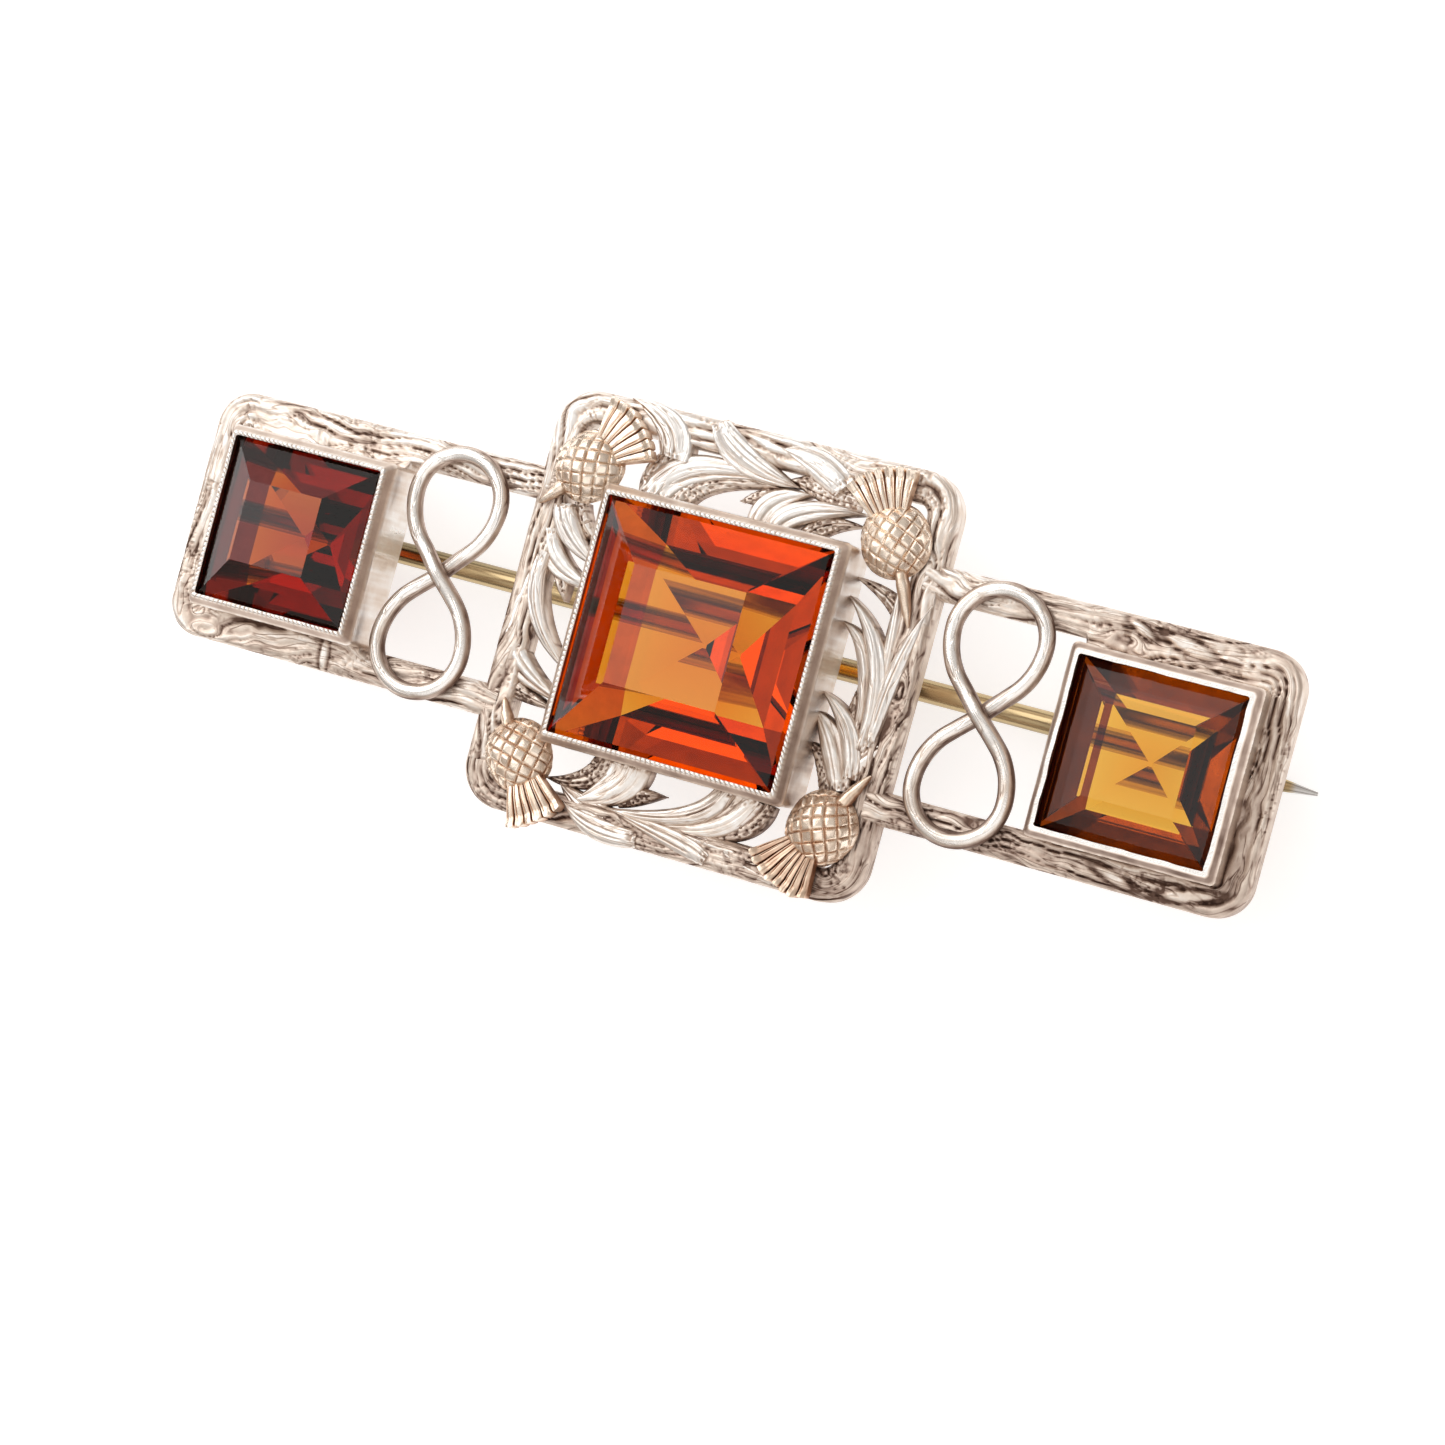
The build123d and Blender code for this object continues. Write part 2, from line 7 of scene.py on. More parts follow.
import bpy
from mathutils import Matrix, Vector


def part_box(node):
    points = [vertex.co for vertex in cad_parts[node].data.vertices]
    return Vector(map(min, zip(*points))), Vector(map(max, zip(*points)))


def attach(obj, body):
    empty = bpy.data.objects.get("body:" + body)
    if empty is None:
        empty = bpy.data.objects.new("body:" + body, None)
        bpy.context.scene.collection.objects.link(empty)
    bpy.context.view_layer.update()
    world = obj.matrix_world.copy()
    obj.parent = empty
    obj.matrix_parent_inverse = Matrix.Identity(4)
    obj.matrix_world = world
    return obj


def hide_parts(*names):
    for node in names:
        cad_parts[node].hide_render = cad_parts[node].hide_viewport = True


bl_info = {
    "name": "Thistle brooch",
    "version": (1, 0, 0),
    "blender": (4, 5, 0),
    "location": "3D View > Sidebar > Brooch",
    "description": "Chased silver, pierced leaves, gold thistles and cut stones around the packed model",
    "category": "Object",
}

from math import cos, pi, radians, sin

import bpy
import numpy as np
from bpy.props import FloatProperty, FloatVectorProperty, PointerProperty
from mathutils import Matrix, Vector

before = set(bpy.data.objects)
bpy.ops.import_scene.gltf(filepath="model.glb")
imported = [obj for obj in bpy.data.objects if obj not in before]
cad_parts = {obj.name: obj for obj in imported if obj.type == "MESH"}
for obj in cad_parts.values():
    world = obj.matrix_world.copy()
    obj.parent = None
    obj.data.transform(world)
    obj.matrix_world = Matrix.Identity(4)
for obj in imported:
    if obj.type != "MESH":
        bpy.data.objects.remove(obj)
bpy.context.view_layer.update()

MM = 0.001

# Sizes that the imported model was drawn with, in millimetres
CENTRE_RIM = 3.9
SIDE_RIM = 3.7
CENTRE_SETTING_Y = -0.25
STONE_TO_BOX = 0.35
GIRDLE_BELOW_RIM = 0.6
GIRDLE_HEIGHT = 0.2
PANEL_HALF = (11.15, 11.1)
ARM_HALF = 6.65
SEAT_RADIUS = 1.3
SOLDER_GAP = 0.05
EAR_RADIUS = 1.35
EAR_SIDES = (1.0, 1.8)
CATCH_INSET = 1.9
CATCH_HALF = 0.75
CATCH_INNER = 0.7
CATCH_MOUTH = 0.65

# Distance between a wire's rings, and what still counts as lying on a face, in millimetres
WIRE_STEP = 0.09
TOUCHING = 1e-6

# How far the painted shade reaches into a crevice, and how deep the grit is, in millimetres
CREVICE_REACH = 0.7
GRIT_DEPTH = 0.03

# Corners of a square of half width one, clockwise from the upper left
SQUARE = np.array([(-1, 1), (1, 1), (1, -1), (-1, -1)])

# The ends of the grey scale, and the colour of the painted shade behind a stone
BLACK, WHITE = (0.0, 0.0, 0.0), (1.0, 1.0, 1.0)
BEHIND_STONE_SHADE = (0.06, 0.012, 0.014)

# First seed of each kind of piece's noise
PANEL_SEED, ARM_SEED, LEAF_SEED, SETTING_SEED, WIRE_SEED, THISTLE_SEED = 11, 40, 60, 90, 130, 160

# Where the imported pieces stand, in metres
silver_low, silver_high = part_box("silver_frame")
centre_low, centre_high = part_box("centre_citrine")
rivet_low, rivet_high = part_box("hinge_rivet")

# The middle of the panel's back, in millimetres
PANEL_ORIGIN = np.array([
    (centre_low.x + centre_high.x) / 2 / MM,
    (centre_low.y + centre_high.y) / 2 / MM - CENTRE_SETTING_Y,
    silver_high.z / MM - CENTRE_RIM,
])


def local_span(low, high, axis):
    """The two ends of a packed box along one axis, in millimetres from the panel's origin."""
    return low[axis] / MM - PANEL_ORIGIN[axis], high[axis] / MM - PANEL_ORIGIN[axis]


# Columns: name, packed stone, rim height, beads along a side, wave of the rim, brightness of the painted
# shade inside the box
SETTINGS = [
    ("left", "left_citrine", SIDE_RIM, 33, 0.035, 0.1),
    ("centre", "centre_citrine", CENTRE_RIM, 46, 0.03, 0.35),
    ("right", "right_citrine", SIDE_RIM, 0, 0.09, 0.0),
]

# Columns: stone, table's share of its width, share at the crown's break, that break's share of the
# crown's height, share at the pavilion's break, slope of the outer and inner pavilion, depth of
# colour, share of the outer pavilion darkened by painted shade
STONES = [
    ("left_citrine", 0.47, 0.94, 0.21, 0.5, 42.0, 34.0, 1350.0, 0.25),
    ("centre_citrine", 0.475, 0.93, 0.22, 0.5, 41.0, 28.0, 700.0, 0.08),
    ("right_citrine", 0.51, 0.72, 0.6, 0.53, 42.0, 27.0, 950.0, 0.6),
]

# The side steps of a stone run from its table downwards, and this one is the pavilion's upper step
OUTER_PAVILION = 3

# Columns: name, side, middle of the wires along X and along Y
ARMS = [
    ("left", -1, -15.1, -0.1),
    ("right", 1, 14.85, -0.05),
]

# Columns: roughness of the high spots, scale of the blotches, share by which the painted shade in crevices is
# lifted, engraved share
METAL_WEAR_AND_SHADE = {
    "chased_silver": (0.34, 1400.0, 0.0, 0.34),
    "leaf_silver": (0.3, 1800.0, 0.04, 0.35),
    "setting_silver": (0.26, 900.0, 0.25, 0.0),
    "wire_silver": (0.2, 1100.0, 0.15, 0.25),
    "rose_gold": (0.22, 1500.0, 0.1, 0.0),
    "back_silver": (0.25, 1200.0, 0.1, 0.0),
}

# The room's colours from the horizon up, its broad lights as (direction, brightness), and the cosines
# of the angle to a light's direction where it starts and where it is full
ROOM_COLOURS = [
    (0.0, (0.3, 0.25, 0.22)), (0.3, (0.42, 0.37, 0.34)),
    (0.75, (0.62, 0.59, 0.56)), (1.0, (0.62, 0.59, 0.56)),
]
ROOM_LIGHTS = [((-0.6, 0.42, 0.68), 1.5), ((0.35, -0.5, 0.79), 0.5)]
LIGHT_STARTS, LIGHT_FULL = 0.72, 0.95

# Gouged ovals on the rails. Columns: centre X, centre Y, half length, half width, tilt in degrees
OVALS = [
    (24.1, 5.75, 1.5, 0.42, -12.0),
    (21.6, 6.0, 0.9, 0.28, -25.0),
    (27.2, -5.9, 1.7, 0.36, 14.0),
    (23.4, -6.0, 1.3, 0.3, -16.0),
    (-20.4, -5.8, 1.1, 0.3, 96.0),
    (-23.2, 5.9, 2.2, 0.26, -9.0),
    (0.6, 10.4, 1.6, 0.28, -10.0),
]

# Columns: name, centre X, centre Y, direction of the tuft, half its spread, stem length, tuft ribs,
# painted light and shade added to the bulb and to the tuft
THISTLES = [
    ("top_left", -8.6, 7.05, 50.0, 32.0, 1.3, 7, 0.1, 0.0),
    ("top_right", 8.45, 7.1, 116.0, 30.0, 2.4, 7, 0.15, 0.15),
    ("bottom_left", -8.25, -7.95, -56.0, 25.0, 1.1, 6, 0.03, 0.0),
    ("bottom_right", 8.6, -7.35, -117.0, 31.0, 1.6, 8, 0.1, -0.15),
]

# Columns: height of a leaf's edge, brightness of its top with painted shade on the lower levels, share of it
# that is dotted
LEVELS = {"low": (1.15, 0.8, 0.9), "mid": (1.35, 1.02, 0.0), "high": (1.55, 1.14, 0.0)}

# Columns: foot X, foot Y, middle X, middle Y, tip X, tip Y, width at foot, width at middle, level
LEAVES = {
    "leaves_above_and_below": [
        (-2.4, 10.9, -0.5, 9.45, 2.6, 8.7, 0.8, 1.2, "high"),
        (-4.9, 6.5, -2.9, 8.4, 1.5, 8.65, 1.3, 1.2, "mid"),
        (-3.6, 6.3, -1.9, 7.95, 2.2, 8.45, 1.0, 0.8, "low"),
        (0.9, 6.2, 1.5, 7.7, 3.4, 8.5, 0.9, 1.0, "mid"),
        (1.9, 8.0, 0.7, 7.75, -0.35, 7.35, 0.8, 0.7, "low"),
        (1.9, 6.3, 3.3, 7.6, 6.4, 8.2, 0.8, 0.9, "high"),
        (3.5, 6.2, 4.5, 7.2, 6.4, 7.6, 0.8, 0.7, "low"),
        (5.0, 9.2, 3.2, 10.15, 1.2, 10.4, 1.1, 1.2, "high"),
        (5.9, 8.8, 3.9, 9.0, 1.9, 9.0, 1.3, 1.2, "low"),
        (-4.3, 8.6, -5.0, 10.2, -7.3, 11.1, 1.3, 1.3, "high"),
        (-5.1, 6.5, -5.0, 8.0, -4.2, 9.6, 1.1, 1.1, "low"),
        (-3.7, -6.9, -4.6, -8.35, -6.8, -8.8, 1.0, 0.9, "low"),
        (-2.3, -6.9, -2.9, -8.4, -5.0, -9.6, 1.9, 1.5, "mid"),
        (-2.6, -8.8, -1.5, -8.45, -0.2, -8.15, 0.9, 0.75, "low"),
        (3.1, -6.9, 1.1, -8.85, -3.4, -9.5, 0.9, 0.8, "high"),
        (4.4, -6.9, 2.4, -9.0, -1.4, -9.5, 1.4, 1.1, "mid"),
        (5.3, -7.1, 4.0, -8.8, 1.0, -9.7, 0.7, 0.9, "low"),
        (3.0, -10.6, 0.8, -10.05, -2.8, -9.5, 0.6, 0.85, "high"),
        (4.8, -9.9, 2.2, -9.7, -0.6, -9.5, 0.5, 0.6, "mid"),
        (-0.9, -10.6, -3.4, -10.55, -5.3, -9.7, 0.7, 0.9, "high"),
        (7.0, -10.7, 5.1, -10.35, 2.9, -9.7, 0.6, 0.75, "mid"),
        (-3.0, -10.2, -4.2, -9.75, -5.8, -8.9, 1.3, 1.1, "mid"),
    ],
    "leaves_at_the_sides": [
        (-10.5, -2.6, -10.3, 0.2, -9.7, 2.6, 0.7, 0.8, "mid"),
        (-9.8, 2.4, -9.35, -0.8, -6.6, -3.5, 0.5, 0.75, "high"),
        (-10.0, 3.6, -8.95, 1.9, -6.6, 1.2, 0.8, 1.0, "mid"),
        (-8.9, 1.9, -8.55, 1.0, -8.25, 0.15, 0.8, 0.65, "low"),
        (-9.5, 5.0, -8.6, 3.5, -6.6, 2.2, 0.9, 0.95, "high"),
        (-8.7, 5.3, -8.1, 4.1, -6.6, 3.1, 0.6, 0.6, "low"),
        (-10.2, -2.6, -9.3, -3.8, -6.6, -5.0, 1.0, 1.0, "mid"),
        (-10.2, -4.3, -9.2, -4.95, -6.6, -5.4, 0.9, 0.7, "low"),
        (9.3, -3.3, 8.95, 1.2, 6.5, 4.2, 0.5, 0.8, "high"),
        (8.9, -2.6, 8.35, 1.1, 6.5, 2.8, 0.4, 0.75, "mid"),
        (9.55, -2.6, 9.45, 2.0, 9.0, 5.4, 0.35, 0.7, "mid"),
        (9.75, -3.0, 10.05, 1.0, 11.0, 4.6, 0.4, 0.7, "high"),
        (10.0, -3.4, 10.4, -0.8, 10.8, 2.0, 0.6, 0.8, "low"),
        (9.2, -4.8, 8.4, -2.4, 6.5, -0.8, 0.7, 0.8, "high"),
        (8.7, -2.4, 8.5, -1.3, 8.25, -0.1, 0.9, 0.75, "low"),
        (8.8, -5.5, 7.8, -3.3, 6.4, -1.8, 0.9, 1.1, "mid"),
        (8.3, -5.9, 7.6, -4.4, 6.4, -3.4, 0.9, 0.8, "low"),
        (9.3, -4.6, 9.8, -3.6, 10.7, -2.6, 1.0, 1.1, "mid"),
        (9.6, 3.0, 8.8, 4.3, 6.5, 5.1, 0.5, 0.7, "low"),
    ],
}


def length(name, description, millimetres):
    """A length property, given in millimetres and kept in metres."""
    return FloatProperty(
        name=name, description=description, default=millimetres * MM,
        unit="LENGTH", subtype="DISTANCE", precision=6,
    )


def tint(name, description, red, green, blue):
    """A colour property."""
    return FloatVectorProperty(
        name=name, description=description, default=(red, green, blue), size=3,
        subtype="COLOR", min=0.0, max=1.0,
    )


class RailSizes(bpy.types.PropertyGroup):
    """Sizes of the frame's rails and their chased bark"""

    rail_width: length("Rail width", "Width of the rails across the top and bottom", 1.7)
    thickness: length("Thickness", "Height of the rails above the back", 1.4)
    edge_round: length("Edge round", "How far the rails' upper edges are rounded", 0.38)
    arm_corner: length("Arm corner", "Outer radius at the brooch's ends", 1.9)
    panel_corner: length("Panel corner", "Outer radius at the panel's corners", 2.2)
    inner_corner: length("Inner corner", "Radius inside the openings", 0.6)
    strand_width: length("Strand width", "Width of one strand of the bark", 0.5)
    groove_depth: length("Groove depth", "Depth of the grooves between strands", 0.09)
    swell: length("Swell", "Rise and fall of the hammered surface", 0.2)


class LeafSizes(bpy.types.PropertyGroup):
    """Sizes of the pierced leaves"""

    underside: length("Underside", "Height of the leaves' flat backs", 0.2)
    crown: length("Crown", "Rise of a blade's middle over its edges", 0.2)
    vein_spacing: length("Vein spacing", "Distance between the veins cut along a blade", 0.42)
    vein_depth: length("Vein depth", "Depth of the cut veins", 0.08)
    widening: FloatProperty(name="Widening", description="Width against the packed blades", default=1.25)


class SettingSizes(bpy.types.PropertyGroup):
    """Sizes of the box settings round the stones"""

    ledge: length("Ledge", "How far the stone's seat reaches under it", 0.4)
    bezel_overlap: length("Bezel overlap", "How far the rim reaches over the stone", 0.2)
    bezel_slope: length("Bezel slope", "Height of the slope below the rim", 0.6)
    bead_height: length("Bead height", "Height of the rim's row of beads", 0.07)
    wall_streak: length("Wall streak", "Depth of the streaks down the walls", 0.025)


class WireSizes(bpy.types.PropertyGroup):
    """Sizes of the figure-of-eight wires"""

    wire_radius: length("Wire radius", "Radius of the wire", 0.43)
    loop_radius: length("Loop radius", "Radius of the round ends, to the wire's middle", 2.4)
    half_height: length("Half height", "From the crossing to the outside of a round end", 6.75)
    crossing_lift: length("Crossing lift", "Rise of the upper strand at the crossing", 0.27)


class ThistleSizes(bpy.types.PropertyGroup):
    """Sizes of the gold thistles"""

    bulb_length: length("Bulb length", "Length of the thistle's bulb", 3.7)
    bulb_radius: length("Bulb radius", "Radius of the thistle's bulb", 1.9)
    neck_radius: length("Neck radius", "Radius where the tuft leaves the bulb", 0.85)
    tuft_reach: length("Tuft reach", "From the bulb's middle to the tuft's end", 3.75)
    net_pitch: length("Net pitch", "Distance between the cuts across the bulb", 0.92)
    net_depth: length("Net depth", "Depth of the cuts", 0.11)
    seat_height: length("Seat height", "Height of the thistles' seats above the back", 1.55)


class Finishes(bpy.types.PropertyGroup):
    """Colours of the metals and stones"""

    silver: tint("Silver", "Polished silver on the high spots", 0.93, 0.9, 0.87)
    tarnish: tint("Tarnish", "Brown tarnish in the silver's grooves", 0.17, 0.105, 0.08)
    gold: tint("Gold", "Pale rose gold on the high spots", 1.0, 0.87, 0.74)
    gold_recess: tint("Gold recess", "Darkened gold in the net and between ribs", 0.36, 0.17, 0.09)
    brass: tint("Brass", "Drawn brass of the pin", 0.56, 0.43, 0.24)
    brown: tint("Brown citrine", "Light left after a path through the left stone", 0.9, 0.62, 0.0)
    amber: tint("Amber citrine", "Light left after a path through the centre stone", 0.96, 0.725, 0.0)
    honey: tint("Honey citrine", "Light left after a path through the right stone", 0.965, 0.765, 0.0)


class StageSizes(bpy.types.PropertyGroup):
    """Camera and light"""

    lens: FloatProperty(name="Lens", description="Focal length of the camera", default=89.9, unit="CAMERA")
    roll: FloatProperty(
        name="Roll", description="Turn of the camera about its own axis", default=radians(-15.016),
        subtype="ANGLE", unit="ROTATION",
    )
    camera_place: FloatVectorProperty(
        name="Camera place", description="From the panel's back", default=(0.061499, -0.001709, 0.173292),
        size=3, subtype="TRANSLATION", unit="LENGTH", precision=6,
    )
    camera_aim: FloatVectorProperty(
        name="Camera aim", description="Middle of the picture, from the panel's back",
        default=(0.000308, -0.003777, -0.00335), size=3, subtype="TRANSLATION", unit="LENGTH", precision=6,
    )
    room_light: FloatProperty(name="Room light", description="Strength of the light overhead", default=1.0)
    floor_glow: FloatProperty(
        name="Floor glow", description="Light that the paper itself gives off", default=0.66
    )
    floor_width: FloatProperty(
        name="Floor width", description="Width of the floor", default=1.6, unit="LENGTH", subtype="DISTANCE"
    )


def lattice(column, row, seed):
    """A repeatable value from 0 to 1 for each whole column and row.

    It is the fractional part of a large multiple of the sine of their weighted sum.
    """
    value = np.sin(column * 127.1 + row * 311.7 + seed * 74.7) * 43758.5453
    return value - np.floor(value)


def soft_noise(x, y, seed):
    """Noise from 0 to 1: the lattice values of a cell's corners, blended by 3t^2 - 2t^3 both ways."""
    column, row = np.floor(x), np.floor(y)
    across, up = x - column, y - row
    across = across * across * (3 - 2 * across)
    up = up * up * (3 - 2 * up)
    low = lattice(column, row, seed) * (1 - across) + lattice(column + 1, row, seed) * across
    high = lattice(column, row + 1, seed) * (1 - across) + lattice(column + 1, row + 1, seed) * across
    return low * (1 - up) + high * up


def layered_noise(x, y, seed, layers=3):
    """Sum of soft noises, each twice as fine and half as strong as the one before, from -0.5 to 0.5."""
    total = sum(soft_noise(x * 2**k, y * 2**k, seed + 13 * k) / 2**k for k in range(layers))
    return total / sum(1 / 2**k for k in range(layers)) - 0.5


def step(low, high, value):
    """Smooth step: 0 below low, 1 above high, and 3t^2 - 2t^3 between."""
    t = np.clip((value - low) / (high - low), 0, 1)
    return t * t * (3 - 2 * t)


def bell(distance, width):
    """Bell curve: 1 at no distance, falling as e to the power of minus (distance over width) squared."""
    return np.exp(-((distance / width) ** 2))


def spread(*parts):
    """One array of points from its coordinates, each spread over the same grid."""
    return np.stack(np.broadcast_arrays(*parts), axis=-1)


def rotated(x, y, degrees):
    """Plane coordinates turned anticlockwise about the origin."""
    angle = radians(degrees)
    return x * cos(angle) - y * sin(angle), x * sin(angle) + y * cos(angle)


def flat_backed(top, bright, under_height=0.0, under_relief=0.3):
    """Rings that run across a carved top and back along a flat underside, and their relief."""
    under = top[:, ::-1].copy()
    under[..., 2] = under_height
    relief = np.concatenate([bright, np.full_like(bright, under_relief)], axis=1)
    return np.concatenate([top, under], axis=1), relief


def loop_grain(along, whole, across):
    """Grain of a closed loop: its length wrapped on a circle of that girth, and the way across."""
    turn, circle = 2 * pi * along / whole, whole / (2 * pi)
    return spread(circle * np.cos(turn), circle * np.sin(turn), across)


def ring_faces(ring_count, ring_size, closed):
    """Quads between neighbouring rings, with a flat cap zipped across each open end."""
    ring = np.arange(ring_count if closed else ring_count - 1)[:, None]
    point = np.arange(ring_size)[None, :]
    after = (point + 1) % ring_size
    base, following = ring * ring_size, (ring + 1) % ring_count * ring_size
    sides = np.stack([base + point, base + after, following + after, following + point], axis=-1)
    sides = sides.reshape(-1, 4)
    if closed:
        return sides
    near = np.arange(ring_size // 2 - 1)
    far = ring_size - 1 - near
    first = np.stack([near + 1, near, far, far - 1], axis=-1)
    last = np.stack([near, near + 1, far - 1, far], axis=-1) + (ring_count - 1) * ring_size
    return np.concatenate([sides, first, last])


def shell(rings, relief, closed=False, flow=None):
    """A closed surface through rings of points, each with a relief value and its place in the grain.

    Its faces are turned outwards by the sign of its volume, a sixth of the sum of v0 . (v1 x v2). The
    grain's place is in mm: two numbers along it and one across, or the point itself where none is given.
    """
    points = rings.reshape(-1, 3)
    faces = ring_faces(rings.shape[0], rings.shape[1], closed)
    corner = points[faces] - points.mean(axis=0)
    first_half = np.einsum("ij,ij->", corner[:, 0], np.cross(corner[:, 1], corner[:, 2]))
    second_half = np.einsum("ij,ij->", corner[:, 0], np.cross(corner[:, 2], corner[:, 3]))
    if first_half + second_half < 0:
        faces = faces[:, ::-1]
    return points, faces, relief.reshape(-1), points if flow is None else flow.reshape(-1, 3)


def make_piece(name, shells, material, slot, stands_for, sharp=50.0):
    """Join shells into one mesh at their place in metres, with their relief and grain as attributes."""
    counts = [len(points) for points, *_ in shells]
    starts = np.concatenate([[0], np.cumsum(counts)[:-1]])
    points, faces, relief, flow = zip(*shells)
    points = (np.concatenate(points) + PANEL_ORIGIN) * MM
    faces = np.concatenate([own + start for own, start in zip(faces, starts)])
    mesh = bpy.data.meshes.new(name)
    mesh.vertices.add(len(points))
    mesh.vertices.foreach_set("co", points.astype(np.float32).ravel())
    mesh.loops.add(faces.size)
    mesh.loops.foreach_set("vertex_index", faces.astype(np.int32).ravel())
    mesh.polygons.add(len(faces))
    mesh.polygons.foreach_set("loop_start", np.arange(0, faces.size, 4, dtype=np.int32))
    mesh.polygons.foreach_set("use_smooth", np.ones(len(faces), bool))
    mesh.update(calc_edges=True)
    mesh.validate()
    height = mesh.attributes.new("relief", "FLOAT", "POINT").data
    height.foreach_set("value", np.concatenate(relief).astype(np.float32))
    grain = mesh.attributes.new("flow", "FLOAT_VECTOR", "POINT").data
    grain.foreach_set("vector", np.concatenate(flow).astype(np.float32).ravel())
    mesh.set_sharp_from_angle(angle=radians(sharp))
    mesh.materials.append(material)
    piece = bpy.data.objects.new(name, mesh)
    bpy.context.scene.collection.objects.link(piece)
    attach(piece, "brooch")
    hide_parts(*stands_for)
    return piece


def make_silver(name, shells, material, **options):
    """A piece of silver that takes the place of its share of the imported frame."""
    return make_piece(name, shells, material, "silver", ["silver_frame"], **options)


def set_inputs(owner, node, inputs):
    """Set a node's inputs to plain values, or link them from other nodes' outputs."""
    for key, value in inputs.items():
        if isinstance(value, bpy.types.NodeSocket):
            owner.node_tree.links.new(value, node.inputs[key])
        else:
            node.inputs[key].default_value = value


def add_node(owner, kind, inputs=None, **settings):
    """A node of a material or world with its settings and inputs."""
    node = owner.node_tree.nodes.new(kind)
    for name, value in settings.items():
        setattr(node, name, value)
    set_inputs(owner, node, inputs or {})
    return node


def new_material(name):
    """An empty node material with its principled shader and its output."""
    material = bpy.data.materials.new(name)
    material.use_nodes = True
    material.node_tree.nodes.clear()
    shader = add_node(material, "ShaderNodeBsdfPrincipled")
    output = add_node(material, "ShaderNodeOutputMaterial", {"Surface": shader.outputs["BSDF"]})
    return material, shader, output


def place_node(owner, axis=None):
    """Object coordinates, whole or along one axis."""
    place = add_node(owner, "ShaderNodeTexCoord").outputs["Object"]
    if axis is None:
        return place
    return add_node(owner, "ShaderNodeSeparateXYZ", {"Vector": place}).outputs[axis]


def noise_node(material, scale, detail, stretch=(1.0, 1.0, 1.0), place=None):
    """Noise over the stretched object coordinates, or over another place."""
    if place is None:
        place = place_node(material)
    mapping = add_node(material, "ShaderNodeMapping", {"Vector": place, "Scale": stretch})
    inputs = {"Vector": mapping.outputs["Vector"], "Scale": scale, "Detail": detail}
    return add_node(material, "ShaderNodeTexNoise", inputs).outputs["Fac"]


def math_node(material, operation, *values, clamp=False):
    """One arithmetic step between sockets or plain numbers."""
    inputs = dict(enumerate(values))
    node = add_node(material, "ShaderNodeMath", inputs, operation=operation, use_clamp=clamp)
    return node.outputs["Value"]


def ramp_node(owner, value, stops):
    """A colour ramp through stops of (place, colour)."""
    ramp = add_node(owner, "ShaderNodeValToRGB", {"Fac": value})
    elements = ramp.color_ramp.elements
    while len(elements) < len(stops):
        elements.new(1.0)
    for element, (place, colour) in zip(elements, stops):
        element.position = place
        element.color = (*colour, 1.0)
    return ramp.outputs["Color"]


def painted_side_light(material):
    """Painted light and shade along the brooch: lighter towards its upper left end, where the light falls,
    darker lower right.
    """
    gain_along, gain_across, most_shade, most_light = -5.0, 14.0, -0.13, 0.05
    lengthwise = math_node(material, "MULTIPLY", place_node(material, "X"), gain_along)
    lengthwise = math_node(material, "MAXIMUM", lengthwise, most_shade)
    lengthwise = math_node(material, "MINIMUM", lengthwise, most_light)
    sideways = math_node(material, "MULTIPLY", place_node(material, "Y"), gain_across)
    return math_node(material, "ADD", lengthwise, sideways)


def fine_cuts(material):
    """Thin cuts along the grain, from 0 to 1, in the stretches that have them.

    A cut lies where noise along a piece's own grain, in mm, crosses its middle.
    """
    flow = add_node(material, "ShaderNodeAttribute", attribute_name="flow").outputs["Vector"]
    winding = noise_node(material, 1.0, 1.0, (0.42, 0.42, 3.6), flow)
    crossing = ramp_node(material, winding, [(0.455, BLACK), (0.5, WHITE), (0.545, BLACK)])
    broad = noise_node(material, 1.0, 1.0, (0.3, 0.3, 0.9), flow)
    stretch = ramp_node(material, broad, [(0.36, BLACK), (0.52, WHITE)])
    return math_node(material, "MULTIPLY", crossing, stretch)


